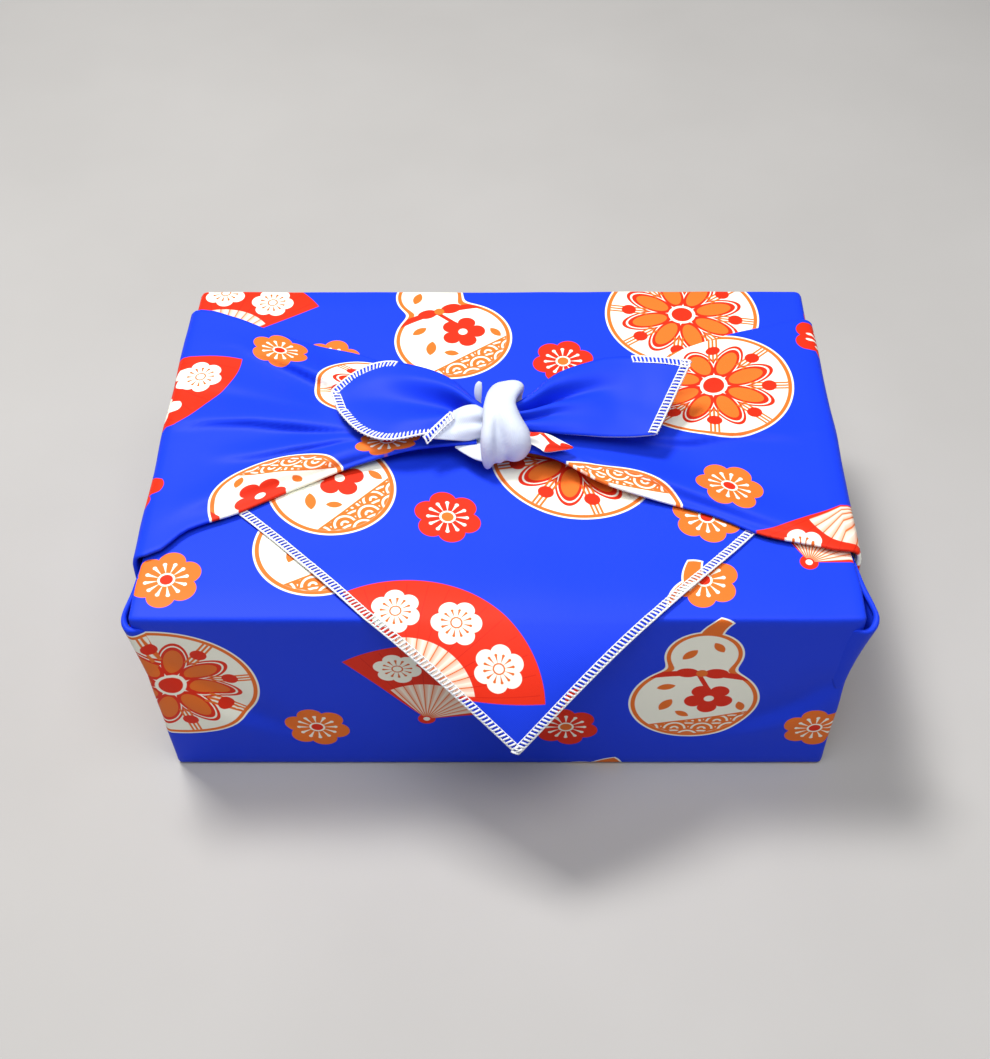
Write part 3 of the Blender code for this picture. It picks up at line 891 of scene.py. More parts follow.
def leaf_shape(x, y, place_x, place_y, angle, long):
    """Distance to a pointed leaf."""
    cosine = math.cos(angle)
    sine = math.sin(angle)
    along_leaf = (x - place_x) * cosine + (y - place_y) * sine
    beside = (y - place_y) * cosine - (x - place_x) * sine
    return length(along_leaf, abs(beside) + 0.75 * long) - 1.25 * long


def waves(paint, x, y, mask):
    """Rows of overlapping round waves."""
    row = (y / 5.0).math("FLOOR")
    shift = row.math("FLOORED_MODULO", 2.0) * 5.0
    across = (x + shift).math("FLOORED_MODULO", 10.0) - 5.0
    up = y - row * 5.0
    near = length(across, up)
    beside = length(abs(across) - 5.0, up + 5.0)
    own = near.math("LESS_THAN", 5.0)
    reach = near * own + beside * (own * -1.0 + 1.0)
    ring = (reach.math("FLOORED_MODULO", 2.5) - 1.25).near_zero(0.42)
    paint.over(ORANGE, mask)
    paint.over(CREAM, ring * mask)


def gourd(paint, x, y, mask):
    """Bottle gourd tied at the waist with a cord, with flowers, leaves and waves on it."""
    lower = length(x * 0.97, y + 12.5) - 20.5
    upper = length(x, y - 15.5) - 11.5
    body = lower.math("SMOOTH_MIN", upper, 7.0)
    stem_x = x - 0.6 - (y - 26.0) * (y - 26.0) * 0.05
    stem = (abs(stem_x) - 2.2 + (y - 26.0) * 0.08).most(length(x - 1.6, y - 28.5) - 6.2)
    edge = body.least(stem)
    paint.over(CREAM, (edge - 2.2).inside() * mask)
    paint.over(ORANGE, (edge - 1.5).inside() * mask)
    paint.over(CREAM, body.inside() * mask)
    inner = body.inside() * mask
    waves(paint, x, y, (y + 24.0 - x * 0.25).inside() * inner)
    paint.over(ORANGE, (y + 24.0 - x * 0.25).near_zero(LINE_HALF) * inner)
    small_flower(paint, x - 5.0, y + 10.0, 9.0, RED, CREAM, inner)
    for leaf in GOURD_LEAVES:
        paint.over(ORANGE, leaf_shape(x, y, *leaf).inside() * inner)
    cord = (abs(y - 5.2 + x * x * 0.008) - 1.6).most(body - 1.4)
    bow = dot(x, y * 1.5, 5.6, 8.0, 4.3).least(dot(x, y * 1.5, -4.6, 8.0, 4.0))
    tails = (abs(x - 1.8 + y * 0.5) - 1.0).most(abs(y - 0.5) - 4.6)
    paint.over(RED, cord.least(tails).least(bow).inside() * mask)
    paint.over(ORANGE, dot(x, y, 0.5, 5.3, 2.0).inside() * mask)


def ball(paint, x, y, mask):
    """Thread-wound ball with a many-petalled star of stitches."""
    radius = length(x, y)
    paint.over(CREAM, (radius - 31.0).inside() * mask)
    paint.over(ORANGE, (radius - 30.3).inside() * mask)
    paint.over(CREAM, (radius - 28.8).inside() * mask)
    ix, iy = wedge(x, y, 8)
    outer = length(ix - 13.5, iy * 2.1) - 11.5
    paint.over(RED, outer.inside() * mask)
    paint.over(CREAM, (outer + 2.0).near_zero(LINE_HALF) * mask)
    paint.over(ORANGE, (outer + 4.4).inside() * mask)
    jx, jy = wedge(x, y, 8, math.pi / 8.0)
    threads = abs(jy).least(abs(jy - 1.5)).least(abs(jy + 1.5)) - LINE_HALF
    paint.over(ORANGE, threads.most(jx - 28.8).most(jx * -1.0 + 14.0).inside() * mask)
    paint.over(RED, (length(jx - 21.5, jy) - 2.9).inside() * mask)
    paint.over(CREAM, (radius - 5.4).inside() * mask)
    paint.over(RED, (radius - 4.2).inside() * mask)


def fan(paint, x, y, mask):
    """Open folding fan with blossoms on its leaf and bare ribs."""
    y = y + 20.0
    radius = length(x, y)
    angle = x.math("ARCTAN2", y)
    spread = abs(angle) * 30.0 - 31.5
    leaf = spread.most(radius - 43.0).most(radius * -1.0 + 21.0)
    ribs = (abs(angle) * 20.0 - 19.4).most(radius - 21.5).most(radius * -1.0 + 2.0)
    guards = (abs(angle) * 24.0 - 25.2).most(radius - 44.5)
    paint.over(RED, guards.least(leaf).least(dot(x, y, 0.0, 0.0, 3.2)).inside() * mask)
    paint.over(CREAM, ribs.inside() * mask)
    pleat = (angle + 2.0).math("FLOORED_MODULO", 0.17) - 0.085
    paint.over(DEEP_ORANGE, (pleat * radius).near_zero(0.2) * ribs.inside() * mask)
    paint.over(ORANGE, (pleat - 0.022).near_zero(0.02) * ribs.inside(0.5) * mask)
    paint.over(DEEP_RED, (pleat * radius).near_zero(0.12) * leaf.inside() * mask)
    step = 0.66
    third = (angle + step * 1.5).math("FLOORED_MODULO", step) - step / 2.0
    along_x = radius * third.math("SINE")
    along_y = radius * third.math("COSINE") - 32.0
    blossom(paint, along_x, along_y, 8.6, CREAM, CREAM, DEEP_ORANGE, leaf.inside() * mask)
    paint.over(CREAM, (radius - 1.2).inside() * mask)


def cloth_material(name, printed):
    """Outer face of the cloth, printed or plain; its pattern follows the flat cloth's own coordinates."""
    made = bpy.data.materials.new(name)
    made.use_nodes = True
    tree = made.node_tree
    shader = tree.nodes["Principled BSDF"]
    flat = tree.nodes.new("ShaderNodeUVMap")
    flat.uv_map = "flat"
    parts = tree.nodes.new("ShaderNodeSeparateXYZ")
    tree.links.new(flat.outputs["UV"], parts.inputs[0])
    u = Field(tree, parts.outputs[0]) * 1000.0
    v = Field(tree, parts.outputs[1]) * -1000.0
    paint = Paint(tree, BLUE)
    if printed:
        x, y, column, row = lattice(u, v, *PRINT_SHIFT)
        kind = (column + row * 2.0).math("FLOORED_MODULO", 3.0)
        angle = (column * 2.3 + row * 5.1).math("SINE") * 0.55
        drift_x = (column * 4.1 + row * 2.7).math("SINE") * CELL_DRIFT
        drift_y = (column * 1.9 + row * 3.3).math("COSINE") * CELL_DRIFT
        gx, gy = turned((x + drift_x) / MOTIF_SCALE, (y + drift_y) / MOTIF_SCALE, angle)
        gourd(paint, gx, gy, kind.math("COMPARE", 2.0, 0.5))
        fan(paint, gx, gy, kind.math("COMPARE", 1.0, 0.5))
        ball(paint, gx, gy, kind.math("COMPARE", 0.0, 0.5))
        x, y, column, row = lattice(u, v, PRINT_SHIFT[0] + CELL_W / 2.0, PRINT_SHIFT[1] + CELL_H / 3.0)
        red = (column + row).math("FLOORED_MODULO", 2.0)
        gx, gy = turned(x, y, column + row * 1.7)
        blossom(paint, gx, gy, BLOSSOM_SIZE, ORANGE, RED, CREAM, (red - 0.5).inside())
        blossom(paint, gx, gy, BLOSSOM_SIZE, RED, ORANGE, CREAM, (red * -1.0 + 0.5).inside())
    tree.links.new(paint.socket, shader.inputs["Base Color"])
    shader.inputs["Roughness"].default_value = CLOTH_ROUGHNESS
    shader.inputs["Specular IOR Level"].default_value = CLOTH_SPECULAR
    weave_bump(tree, shader, flat, CLOTH_WEAVE)
    return made


def weave_bump(tree, shader, flat, strength):
    """Fine weave and slight unevenness of the threads, from the flat cloth's coordinates."""
    heights = []
    for turn in (math.pi / 4.0, -math.pi / 4.0):
        mapping = tree.nodes.new("ShaderNodeMapping")
        mapping.inputs["Rotation"].default_value = (0.0, 0.0, turn)
        tree.links.new(flat.outputs["UV"], mapping.inputs["Vector"])
        wave = tree.nodes.new("ShaderNodeTexWave")
        wave.inputs["Scale"].default_value = THREADS_PER_M
        wave.inputs["Distortion"].default_value = 1.2
        wave.inputs["Detail"].default_value = 1.0
        tree.links.new(mapping.outputs["Vector"], wave.inputs["Vector"])
        heights.append(Field(tree, wave.outputs["Fac"]))
    grain = tree.nodes.new("ShaderNodeTexNoise")
    grain.inputs["Scale"].default_value = GRAIN_PER_M
    grain.inputs["Detail"].default_value = 3.0
    tree.links.new(flat.outputs["UV"], grain.inputs["Vector"])
    total = heights[0] + heights[1] + Field(tree, grain.outputs["Fac"]) * 1.6
    add_bump(tree, shader, total, strength, 0.0003)


def add_bump(tree, shader, height, strength, distance):
    """Bump of a shader from a height field."""
    bump = tree.nodes.new("ShaderNodeBump")
    bump.inputs["Strength"].default_value = strength
    bump.inputs["Distance"].default_value = distance
    tree.links.new(height.socket, bump.inputs["Height"])
    tree.links.new(bump.outputs["Normal"], shader.inputs["Normal"])


def mottled_material(name, dark, light, scale, roughness, specular):
    """Material whose colour wanders between two tones, in a noise of a given scale per metre."""
    made = bpy.data.materials.new(name)
    made.use_nodes = True
    tree = made.node_tree
    shader = tree.nodes["Principled BSDF"]
    place = tree.nodes.new("ShaderNodeTexCoord")
    cloud = tree.nodes.new("ShaderNodeTexNoise")
    cloud.inputs["Scale"].default_value = scale
    cloud.inputs["Detail"].default_value = 4.0
    tree.links.new(place.outputs["Object"], cloud.inputs["Vector"])
    paint = Paint(tree, dark)
    paint.over(light, (Field(tree, cloud.outputs["Fac"]) * 2.2).math("SUBTRACT", 0.6, clamp=True))
    tree.links.new(paint.socket, shader.inputs["Base Color"])
    shader.inputs["Roughness"].default_value = roughness
    shader.inputs["Specular IOR Level"].default_value = specular
    return made, tree, shader, place


def banded(parts, scale, strength, depth, direction="X", distortion=0.0):
    """Finished material of a mottled one, with raised bands at a scale per metre."""
    made, tree, shader, place = parts
    bands = tree.nodes.new("ShaderNodeTexWave")
    bands.bands_direction = direction
    bands.inputs["Scale"].default_value = scale
    bands.inputs["Distortion"].default_value = distortion
    tree.links.new(place.outputs["Object"], bands.inputs["Vector"])
    add_bump(tree, shader, Field(tree, bands.outputs["Fac"]), strength, depth)
    return made


def reverse_cloth():
    """Unprinted back of the cloth: cool white with its weave."""
    tones = (0.49, 0.54, 0.67), (0.65, 0.70, 0.78)
    made, tree, shader = mottled_material("cloth_reverse", *tones, 70.0, 0.6, 0.2)[:3]
    flat = tree.nodes.new("ShaderNodeUVMap")
    flat.uv_map = "flat"
    weave_bump(tree, shader, flat, REVERSE_WEAVE)
    return made


def thread():
    """White overlock thread with its twist."""
    tones = (0.66, 0.68, 0.73), (0.80, 0.81, 0.83)
    mottled = mottled_material("hem_thread", *tones, 900.0, 0.55, 0.3)
    return banded(mottled, 700.0, 0.3, 0.0002, "DIAGONAL")


def carton():
    """Plain board with faint fluting and fibres."""
    tones = (0.47, 0.34, 0.21), (0.60, 0.45, 0.30)
    mottled = mottled_material("carton", *tones, 160.0, 0.85, 0.2)
    return banded(mottled, 45.0, 0.2, 0.0004, distortion=0.6)


def floor_paper():
    """Pale matt studio floor."""
    tones = (0.38, 0.37, 0.36), (0.41, 0.40, 0.39)
    return mottled_material("floor_pale", *tones, 6.0, 0.85, 0.2)[0]


# Curves and swept bodies

def resampled(points, count):
    """Points of a smooth curve through the given ones, evenly counted."""
    rows = [Vector(point) for point in points]
    made = []
    last = len(rows) - 1
    for index in range(count + 1):
        place = index / count * last
        cell = min(int(place), last - 1)
        t = place - cell
        before = rows[max(cell - 1, 0)]
        start = rows[cell]
        end = rows[cell + 1]
        after = rows[min(cell + 2, last)]
        made.append(0.5 * (2.0 * start + (end - before) * t
                           + (2.0 * before - 5.0 * start + 4.0 * end - after) * t * t
                           + (3.0 * start - before - 3.0 * end + after) * t * t * t))
    return made


def strap_mesh(path, side_axis, slot, folds=0.0, fold_count=3, sections=28, count=26):
    """Closed swept body with folds along it; path rows are x, y, z, half width, half thickness."""
    centres = resampled([row[:3] for row in path], count)
    sizes = resampled([(row[3], row[4], 0.0) for row in path], count)
    made = bmesh.new()
    made.loops.layers.uv.new("flat")
    rings = []
    for index, centre in enumerate(centres):
        ahead = centres[min(index + 1, count)]
        behind = centres[max(index - 1, 0)]
        forward = (ahead - behind).normalized()
        across = (Vector(side_axis) - forward * Vector(side_axis).dot(forward)).normalized()
        outward = across.cross(forward)
        ring = []
        for step in range(sections):
            angle = 2.0 * math.pi * step / sections
            wobble = noise.noise(Vector((centre.x, centre.y + 7.0 * math.cos(angle), centre.z)) / 9.0)
            fold = 0.5 + 0.5 * math.cos(fold_count * angle + 0.06 * index)
            groove = 1.0 - folds * fold + 0.10 * wobble
            offset = across * math.cos(angle) * sizes[index].x
            offset += outward * math.sin(angle) * sizes[index].y
            ring.append(made.verts.new((centre + offset * groove) * MM))
        rings.append(ring)
    for upper, lower in zip(rings, rings[1:]):
        for step in range(sections):
            after = (step + 1) % sections
            made.faces.new((upper[step], upper[after], lower[after], lower[step]))
    for ring in (rings[0], rings[-1]):
        middle = made.verts.new(sum((vert.co for vert in ring), Vector()) / sections)
        for step in range(sections):
            made.faces.new((ring[step], ring[(step + 1) % sections], middle))
    bmesh.ops.recalc_face_normals(made, faces=made.faces)
    for face in made.faces:
        face.smooth = True
        face.material_index = slot
    return made


def blended(parts, voxel, rounds):
    """One soft mesh of several swept bodies, their joins rounded like cloth under cloth."""
    joined = bmesh.new()
    for part in parts:
        add_into(joined, part)
    mesh = bpy.data.meshes.new("blend")
    joined.to_mesh(mesh)
    joined.free()
    holder = bpy.data.objects.new("blend", mesh)
    bpy.context.scene.collection.objects.link(holder)
    remesh = holder.modifiers.new("remesh", "REMESH")
    remesh.mode = "VOXEL"
    remesh.voxel_size = voxel * MM
    result = bmesh.new()
    result.from_object(holder, bpy.context.evaluated_depsgraph_get())
    bpy.data.objects.remove(holder)
    bpy.data.meshes.remove(mesh)
    axes = {"use_axis_x": True, "use_axis_y": True, "use_axis_z": True}
    for step in range(rounds):
        bmesh.ops.smooth_vert(result, verts=result.verts, factor=0.5, **axes)
    layer = result.loops.layers.uv.new("flat")
    for face in result.faces:
        face.smooth = True
        face.material_index = REVERSE
        for loop in face.loops:
            place = loop.vert.co
            loop[layer].uv = (place.x, place.y - place.z)
    return result


LEAF_ROWS = 34
LEAF_COLUMNS = 26


def leaf_patch(back_edge, front_edge, creases, origin, size, rows=LEAF_ROWS, columns=LEAF_COLUMNS, bow=0.0):
    """Grid of a tie end between two edge lines, with creases that run along it.

    A crease is its place across at the root and at the end, its width, its height and its reach.
    """
    back = resampled(back_edge, rows)
    front = resampled(front_edge, rows)
    grid = []
    for i in range(rows + 1):
        share = i / rows
        row = []
        for j in range(columns + 1):
            across = j / columns
            height = bow * math.sin(math.pi * across) * math.sin(math.pi * min(1.0, share * 1.3 + 0.1))
            for at_root, at_end, width, tall, reach in creases:
                middle = mix(at_root, at_end, share)
                fade = 1.0 - smooth(share / reach)
                height += tall * fade * math.exp(-((across - middle) / width) ** 2)
            point = back[i].lerp(front[i], across)
            height += 0.5 * noise.noise(point / 12.0)
            where = (origin[0] + size[0] * share, origin[1] + size[1] * (across - 0.5))
            row.append((point + Vector((0.0, -0.35 * height, height)), where))
        grid.append(row)
    return grid


# Slack fold at each front upper corner: its open rim and the line where it meets the wall, per side

LIP_RIM = {
    1: (
        (140.6, -59, 98.6), (141, -69, 101), (142.4, -78, 101), (145.2, -87, 99.4), (146.2, -92, 98.2),
        (144.4, -96, 97), (141.2, -97.8, 97), (137.6, -97, 96.6), (132.5, -94, 94),
    ),
    -1: (
        (-140.2, -63, 98.6), (-140.4, -73, 100.8), (-141.3, -81.5, 100.6), (-143.2, -89.5, 99.2),
        (-143.4, -93.6, 98), (-141.6, -96.6, 97.2), (-139, -97.5, 97.2), (-136, -96.6, 96.6),
        (-131.5, -94, 94),
    ),
}
LIP_FOOT = {
    1: (
        (139.4, -59, 95), (139.7, -69, 89), (139.9, -78, 79), (139.9, -87, 66), (139.6, -92, 60),
        (138.4, -95.4, 56), (135.6, -95.6, 58), (133, -95, 66), (129.5, -93.6, 76),
    ),
    -1: (
        (-139.4, -63, 95), (-139.7, -73, 89), (-139.8, -81.5, 79), (-139.8, -89.5, 66),
        (-139.4, -93.4, 59), (-138.2, -95.4, 55), (-135.4, -95.6, 57), (-132.6, -95, 66),
        (-129, -93.6, 76),
    ),
}
LIP_SWELL = {1: -1.1, -1: -0.2}
LIP_ROLL = 1.2
LIP_TURN = math.radians(200.0)
LIP_TURN_STEPS = 6
LIP_ROWS = 44
LIP_COLUMNS = 22


def lip_patch(side):
    """Slack fold standing off a corner; its rim is rolled inward and its foot lies on the wall."""
    rims = resampled(LIP_RIM[side], LIP_ROWS)
    feet = resampled(LIP_FOOT[side], LIP_ROWS)
    middle = Vector((side * (HALF_W - 6.0), -80.0, TOP_Z))
    grid = []
    for i, (rim, foot) in enumerate(zip(rims, feet)):
        inward = middle - rim
        inward.z = 0.0
        inward.normalize()
        open_share = math.sin(math.pi * i / LIP_ROWS)
        roll = LIP_ROLL * open_share
        row = []
        for step in range(LIP_TURN_STEPS + 1):
            angle = LIP_TURN * (1.0 - step / LIP_TURN_STEPS)
            point = rim + inward * roll * (1.0 - math.cos(angle))
            row.append(point + Vector((0.0, 0.0, roll * math.sin(angle))))
        for j in range(1, LIP_COLUMNS + 1):
            share = j / LIP_COLUMNS
            point = rim.lerp(foot, share)
            swell = LIP_SWELL[side] * math.sin(math.pi * share) * open_share
            row.append(point + Vector((side * swell, 0.0, 0.0)))
        grid.append([])
        for point in row:
            beyond = max(0.0, point.y + HALF_D + 0.5)
            across = side * (min(abs(point.x), HALF_W) + beyond)
            grid[-1].append((point, (across, BASE_Z - HALF_D - point.z)))
    return grid


# The two tie ends and the knot, in millimetres; a knot row is x, y, z, half width, half thickness

RIGHT_EAR_BACK = (
    (4, 0, 121), (13, 5, 123.5), (24, 15.5, 125.5), (38, 21.5, 127), (50, 24, 128), (65, 22.5, 129),
    (80, 19.5, 129.5),
)
RIGHT_EAR_FRONT = (
    (4, -9, 119), (13, -11, 118.5), (24, -12, 118), (36, -13, 118), (46, -13.5, 118),
    (55, -13.8, 118.5), (64, -13.8, 119.5),
)
RIGHT_EAR_CREASES = (
    (0.42, 0.33, 0.095, -8.5, 0.80),
    (0.57, 0.52, 0.11, 5.0, 0.65),
    (0.70, 0.62, 0.06, -3.4, 0.50),
    (0.18, 0.10, 0.15, 3.4, 0.85),
    (0.88, 0.88, 0.13, 2.2, 0.95),
    (0.30, 0.62, 0.16, -1.4, 1.30),
)
LEFT_EAR_BACK = (
    (-3, -1, 120), (-10.5, 5, 122), (-20, 15, 123.5), (-33, 23.5, 122.5), (-48, 28.4, 121),
    (-61, 23.9, 119.5), (-70.5, 13, 118.5),
)
LEFT_EAR_FRONT = (
    (-3, -8, 116.5), (-11, -9.5, 117.2), (-20, -11, 119.6), (-32, -14, 120), (-46, -15.4, 118.6),
    (-57.5, -9.6, 118), (-66.5, 2, 118.2),
)
LEFT_EAR_CREASES = (
    (0.52, 0.46, 0.17, -10.5, 1.00),
    (0.24, 0.20, 0.12, 3.6, 0.95),
    (0.84, 0.78, 0.12, 2.6, 0.95),
    (0.38, 0.40, 0.06, -2.0, 0.50),
    (0.66, 0.60, 0.06, -1.6, 0.55),
)
LEFT_TURN_BACK = (
    (-3, -1, 120.5), (-6.9, -0.8, 122.4), (-10, -0.9, 123.8), (-13.5, -2, 124.6), (-16.7, -3.6, 124.7),
    (-19.6, -5.7, 124.2),
)
LEFT_TURN_FRONT = (
    (-3, -12, 117), (-7.2, -12.4, 116.5), (-12.6, -13.4, 115.8), (-17.8, -14.2, 116.8),
    (-24.2, -15.4, 118.6), (-30.4, -16.4, 120.2),
)
LEFT_TURN_CREASES = (
    (0.62, 0.50, 0.12, -1.5, 0.80),
    (0.30, 0.35, 0.24, 1.4, 1.2),
    (0.88, 0.78, 0.14, 1.0, 1.1),
)
KNOT_LEFT_ROLL = (
    (3, 9.5, 112, 4, 2.6), (2.8, 9, 120, 4.6, 3), (1.8, 6.5, 126.6, 4.8, 3),
    (-0.8, 0, 128.8, 4.2, 2.8), (-2.6, -7, 128.6, 3.6, 3), (-3.4, -13.2, 126.6, 3.2, 3.4),
    (-3.9, -18.1, 122, 3.4, 3.6), (-4, -21, 116.6, 3.5, 3.2), (-4.4, -23, 112, 2.6, 2.2),
    (-4.6, -24.2, 109.8, 0.8, 0.8),
)
KNOT_RIGHT_LOBE = (
    (5.6, 9, 114, 4, 2.6), (5.4, 8, 121, 4.8, 3), (5.4, 6.4, 127.4, 6, 3), (2.6, 0.5, 129.6, 6, 3.4),
    (1.8, -6, 128.9, 6.2, 3.8), (3.4, -11.5, 126.2, 6.2, 4.6), (6, -15.5, 122.2, 6.6, 5.4),
    (7.2, -17.6, 118.2, 6.6, 5.4), (6, -19, 114.4, 5.4, 4.2), (4.4, -18.6, 111.4, 2.6, 2),
)
KNOT_BETWEEN = (
    (-0.6, -8, 125.6, 2.8, 2.6), (-0.2, -14.5, 122.6, 3.4, 3.6), (0.2, -18.6, 117.4, 3.6, 3.4),
    (0.2, -20.8, 113.4, 3, 2.4), (0, -21.6, 111.2, 1.4, 1.2),
)
KNOT_CORE = (
    (-9, -5, 113, 7, 4), (-2, -6, 116.5, 9.5, 7.5), (5, -6.5, 116.5, 9.5, 7.5),
    (12, -5, 113.5, 7, 4.4),
)
TURN_HEM_ROW = 31
KNOT_VOXEL = 0.68
KNOT_ROUNDS = 7
SMALL_TAIL_BACK = (
    (6, -12, 122), (12.9, -14.1, 121.5), (16.8, -14, 121), (20.6, -14.8, 120.5), (25.1, -16.9, 119.5),
    (30.4, -19.4, 118.2),
)
SMALL_TAIL_FRONT = (
    (6, -17, 119), (13.3, -18.4, 118.6), (16.6, -20.2, 118), (19.2, -22.1, 117.8), (24.6, -21.4, 118),
    (30.2, -20, 118),
)
SMALL_TAIL_CREASES = (
    (0.5, 0.5, 0.25, 2.2, 1.3),
    (0.2, 0.3, 0.10, -0.8, 0.6),
)
SMALL_POINT = (
    (-4, -17.6, 114.2, 6.6, 2), (-8, -16.8, 113.6, 5.4, 1.4), (-13, -15.4, 113, 3, 0.9),
    (-17.8, -13.8, 112.6, 0.5, 0.5),
)
UPRIGHT_TIP = (
    (-7, 2, 117, 1.6, 1), (-8.2, 4, 120, 1, 0.6), (-8.6, 5.2, 124, 1.6, 0.5),
    (-8.3, 7, 127.2, 1.5, 0.45), (-7.6, 8.2, 128.6, 0.7, 0.3),
)

# Flat-cloth place of each tie end and its length and width there
RIGHT_EAR_PRINT = ((392, 0), (74, 38))
LEFT_EAR_PRINT = ((-392, 0), (-70, 42))
LEFT_TURN_PRINT = ((-400, 30), (-30, 14))
SMALL_TAIL_PRINT = ((222, 313), (26, 9))
LEAF_T = CLOTH_T * 1.4
PLAIN_FROM = TOP_Z + 1.8 * LAYER_STEP


# The whole cloth

far_flap = far_flap_patch()
sheet = weld_patches(
    [near_flap_patch(), wall_patch(True), under_patch(), wall_patch(False), far_flap]
    + [corner_patch(side, front) for side in (1, -1) for front in (True, False)]
    + [band_patch(1), band_patch(-1)]
)
face_up(sheet, Vector((0.0, 0.05, TOP_Z * MM)), 0.04)
joined_flat(sheet)
cloth_mesh = thickened(sheet, CLOTH_T, plain_above=PLAIN_FROM * MM)

right_ear = leaf_patch(RIGHT_EAR_BACK, RIGHT_EAR_FRONT, RIGHT_EAR_CREASES, *RIGHT_EAR_PRINT, bow=2.0)
left_ear = leaf_patch(LEFT_EAR_BACK, LEFT_EAR_FRONT, LEFT_EAR_CREASES, *LEFT_EAR_PRINT, bow=1.5)
left_turn = leaf_patch(LEFT_TURN_BACK, LEFT_TURN_FRONT, LEFT_TURN_CREASES, *LEFT_TURN_PRINT, bow=3.4)
small_tail = leaf_patch(SMALL_TAIL_BACK, SMALL_TAIL_FRONT, SMALL_TAIL_CREASES, *SMALL_TAIL_PRINT, 24, 14)
for grid, slots in (
    (right_ear, (PLAIN, REVERSE)),
    (left_ear, (PLAIN, REVERSE)),
    (left_turn[:TURN_HEM_ROW + 1], (REVERSE, PLAIN)),
    (left_turn[TURN_HEM_ROW:], (PLAIN, PLAIN)),
    (small_tail, (PRINT, REVERSE)),
):
    leaf = weld_patches([grid])
    face_up(leaf, Vector((0.0, 0.0, 0.12)), 1.0)
    add_into(cloth_mesh, thickened(leaf, LEAF_T, slots))
for side in (1, -1):
    lip = weld_patches([lip_patch(side)])
    total = sum(face.normal.x * side - face.normal.y for face in lip.faces)
    if total < 0.0:
        bmesh.ops.reverse_faces(lip, faces=lip.faces)
    add_into(cloth_mesh, thickened(lip, CLOTH_T, (PRINT, PRINT)))
knot_parts = [strap_mesh(KNOT_CORE, (0.0, 1.0, 0.0), REVERSE, 0.10, 5)]
for path in (KNOT_RIGHT_LOBE, KNOT_LEFT_ROLL, KNOT_BETWEEN):
    knot_parts.append(strap_mesh(path, (1.0, 0.0, 0.0), REVERSE, 0.05, 3))
add_into(cloth_mesh, blended(knot_parts, KNOT_VOXEL, KNOT_ROUNDS))
for path, axis in ((SMALL_POINT, (0.0, 1.0, 0.0)), (UPRIGHT_TIP, (1.0, 0.0, 0.0))):
    add_into(cloth_mesh, strap_mesh(path, axis, REVERSE))


# Sewn edge

STITCH_PITCH = 1.7
STITCH_REACH = 2.9
STITCH_SLANT = 0.9
THREAD_R = 0.44
THREAD_SIDES = 5


def along(points, pitch):
    """Places along a line at an even pitch: point and the index it lies in."""
    made = []
    left = 0.0
    for index, (start, end) in enumerate(zip(points, points[1:])):
        length = (end - start).length
        while left < length:
            made.append((start.lerp(end, left / length), index))
            left += pitch
        left -= length
    return made


def tube(work, points, radius):
    """Round thread along a short line."""
    rings = []
    for index, point in enumerate(points):
        forward = (points[min(index + 1, len(points) - 1)] - points[max(index - 1, 0)]).normalized()
        side = forward.orthogonal().normalized() if index == 0 else side
        side = (side - forward * side.dot(forward)).normalized()
        other = forward.cross(side)
        size = radius * (0.8 if index in (0, len(points) - 1) else 1.0)
        ring = []
        for step in range(THREAD_SIDES):
            angle = 2.0 * math.pi * step / THREAD_SIDES
            offset = (side * math.cos(angle) + other * math.sin(angle)) * size
            ring.append(work.verts.new((point + offset) * MM))
        rings.append(ring)
    for upper, lower in zip(rings, rings[1:]):
        for step in range(THREAD_SIDES):
            after = (step + 1) % THREAD_SIDES
            work.faces.new((upper[step], upper[after], lower[after], lower[step]))
    work.faces.new(rings[0])
    work.faces.new(rings[-1])


def serge(work, edge, inner, up, reach=STITCH_REACH, both_faces=True):
    """Overlock stitches along an edge line, with places further in that show the way across."""
    rail = []
    border = []
    places = along(edge, STITCH_PITCH)
    for number, (point, index) in enumerate(places):
        tangent = (edge[index + 1] - edge[index]).normalized()
        toward = inner[index] - edge[index]
        inward = (toward - tangent * toward.dot(tangent)).normalized()
        normal = inward.cross(tangent).normalized()
        if normal.dot(up) < 0.0:
            normal = -normal
        lift = CLOTH_T * 0.7 + THREAD_R * 0.75
        jitter = 0.25 * noise.noise(Vector((number * 0.7, edge[0].x, 3.0)))
        loop = [
            point + inward * (reach + jitter) + tangent * STITCH_SLANT + normal * (lift - 0.3),
            point + inward * reach * 0.8 + tangent * STITCH_SLANT * 0.8 + normal * lift,
            point + inward * reach * 0.4 + tangent * STITCH_SLANT * 0.35 + normal * lift,
            point + inward * 0.1 + normal * lift * 0.85,
            point - inward * (THREAD_R + 0.1) - normal * 0.1,
        ]
        if both_faces:
            loop += [
                point + inward * 0.1 - normal * lift * 0.8,
                point + inward * reach * 0.55 - tangent * 0.3 - normal * lift * 0.9,
            ]
        tube(work, loop, THREAD_R)
        rail.append(point + inward * (reach - 0.1) + tangent * STITCH_SLANT + normal * (lift - 0.2))
        border.append(point - inward * 0.3 + normal * 0.25)
    tube(work, rail, THREAD_R * 0.5)
    tube(work, border, THREAD_R)


UP = Vector((0.0, -0.4, 1.0))
EAR_HEM_ROW = 25
LEFT_HEM_ROWS = (21, 13)
TURN_REACH = 2.7

stitches = bmesh.new()
flap_rows = [row for row in far_flap if row[0][0].y < -22.0 and row[0][0].z < TOP_Z + 20.0]
for edge_column in (0, -1):
    edge = [row[edge_column][0] for row in flap_rows]
    inner = [row[len(row) // 2][0] for row in flap_rows]
    serge(stitches, edge, inner, UP, both_faces=False)

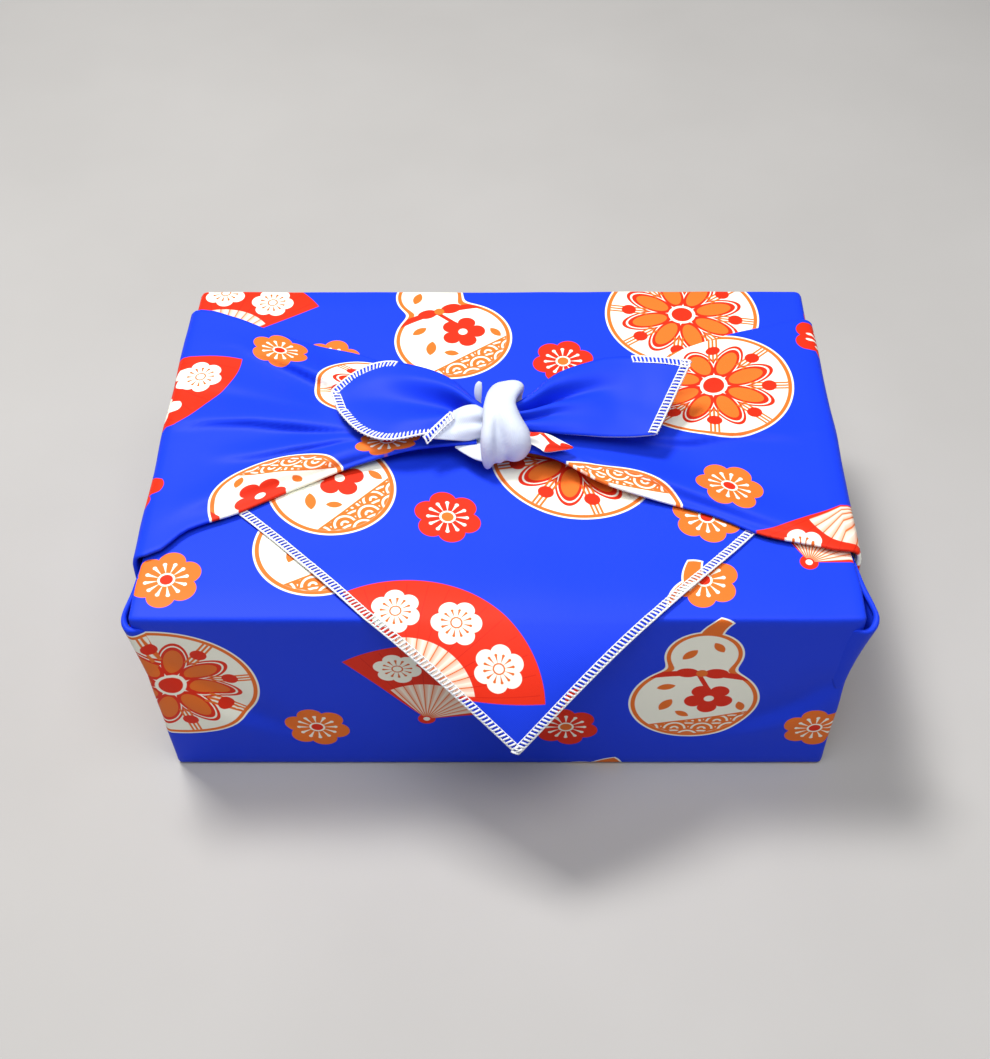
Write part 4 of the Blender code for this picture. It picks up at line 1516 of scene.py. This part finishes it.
middle_column = LEAF_COLUMNS // 2
right_side = [row[0][0] for row in right_ear[EAR_HEM_ROW:]]
right_end = [point for point, where in right_ear[-1]]
left_edge = [row[0][0] for row in left_ear[LEFT_HEM_ROWS[0]:]]
left_edge += [point for point, where in left_ear[-1][1:]]
left_edge += [row[-1][0] for row in left_ear[LEAF_ROWS - 1:LEFT_HEM_ROWS[1]:-1]]
turn_end = [point for point, where in left_turn[-1]]
for edge, middle, reach in (
    (right_side, right_ear[20][middle_column][0], STITCH_REACH),
    (right_end, right_ear[20][middle_column][0], STITCH_REACH),
    (left_edge, left_ear[22][middle_column][0], STITCH_REACH),
    (turn_end, left_turn[20][middle_column][0], TURN_REACH),
):
    serge(stitches, edge, [middle] * len(edge), UP, reach)


# Materials and declarations

print_material = cloth_material("printed_cloth", True)
plain_material = cloth_material("plain_ground", False)
reverse_material = reverse_cloth()
hem_material = thread()
cloth_slots = [print_material, reverse_material, hem_material, plain_material]
cloth = piece_from("cloth", cloth_mesh, cloth_slots)
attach(cloth, "root")
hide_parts("furoshiki")
serging = piece_from("serging", stitches, [hem_material])
for polygon in serging.data.polygons:
    polygon.use_smooth = True
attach(serging, "root")

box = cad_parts["box"]
box.data.materials.clear()
box.data.materials.append(carton())

# Floor, lights and camera

floor_mesh = bmesh.new()
bmesh.ops.create_grid(floor_mesh, x_segments=1, y_segments=1, size=3.0)
floor = piece_from("floor", floor_mesh, [floor_paper()])


def area_light(name, place, target, size, power, colour):
    """Soft area light aimed at a place."""
    data = bpy.data.lights.new(name, "AREA")
    data.shape = "RECTANGLE"
    data.size = size[0]
    data.size_y = size[1]
    data.energy = power
    data.color = colour
    made = bpy.data.objects.new(name, data)
    made.location = place
    made.rotation_euler = (Vector(target) - Vector(place)).to_track_quat("-Z", "Y").to_euler()
    bpy.context.scene.collection.objects.link(made)


MIDDLE = (0.0, 0.0, 0.06)
area_light("key", (-0.42, 0.34, 1.45), MIDDLE, (0.40, 0.34), 24.5, (1.0, 0.99, 0.97))
area_light("top", (0.1, -0.45, 1.5), MIDDLE, (1.2, 0.8), 17.5, (1.0, 1.0, 1.0))
area_light("front fill", (0.3, -1.4, 0.7), MIDDLE, (1.2, 0.8), 2.0, (0.97, 0.99, 1.0))

world = bpy.data.worlds.new("studio")
world.use_nodes = True
background = world.node_tree.nodes["Background"]
background.inputs["Color"].default_value = (0.9, 0.93, 1.0, 1.0)
background.inputs["Strength"].default_value = 0.13
bpy.context.scene.world = world
bpy.context.scene.view_settings.view_transform = "Standard"

IMAGE_W = 990.0
FOCAL_PX = 1373.0
AXIS_PX = 519.5
SENSOR = 36.0
PITCH = math.radians(49.03)
camera_data = bpy.data.cameras.new("camera")
camera_data.sensor_fit = "HORIZONTAL"
camera_data.sensor_width = SENSOR
camera_data.lens = FOCAL_PX / IMAGE_W * SENSOR
camera_data.shift_x = (IMAGE_W / 2 - AXIS_PX) / IMAGE_W
camera_data.clip_start = 0.01
camera = bpy.data.objects.new("camera", camera_data)
camera.location = (0.0086, -0.4105, 0.5175)
camera.rotation_euler = (math.pi / 2 - PITCH, 0.0, 0.0)
bpy.context.scene.collection.objects.link(camera)
bpy.context.scene.camera = camera
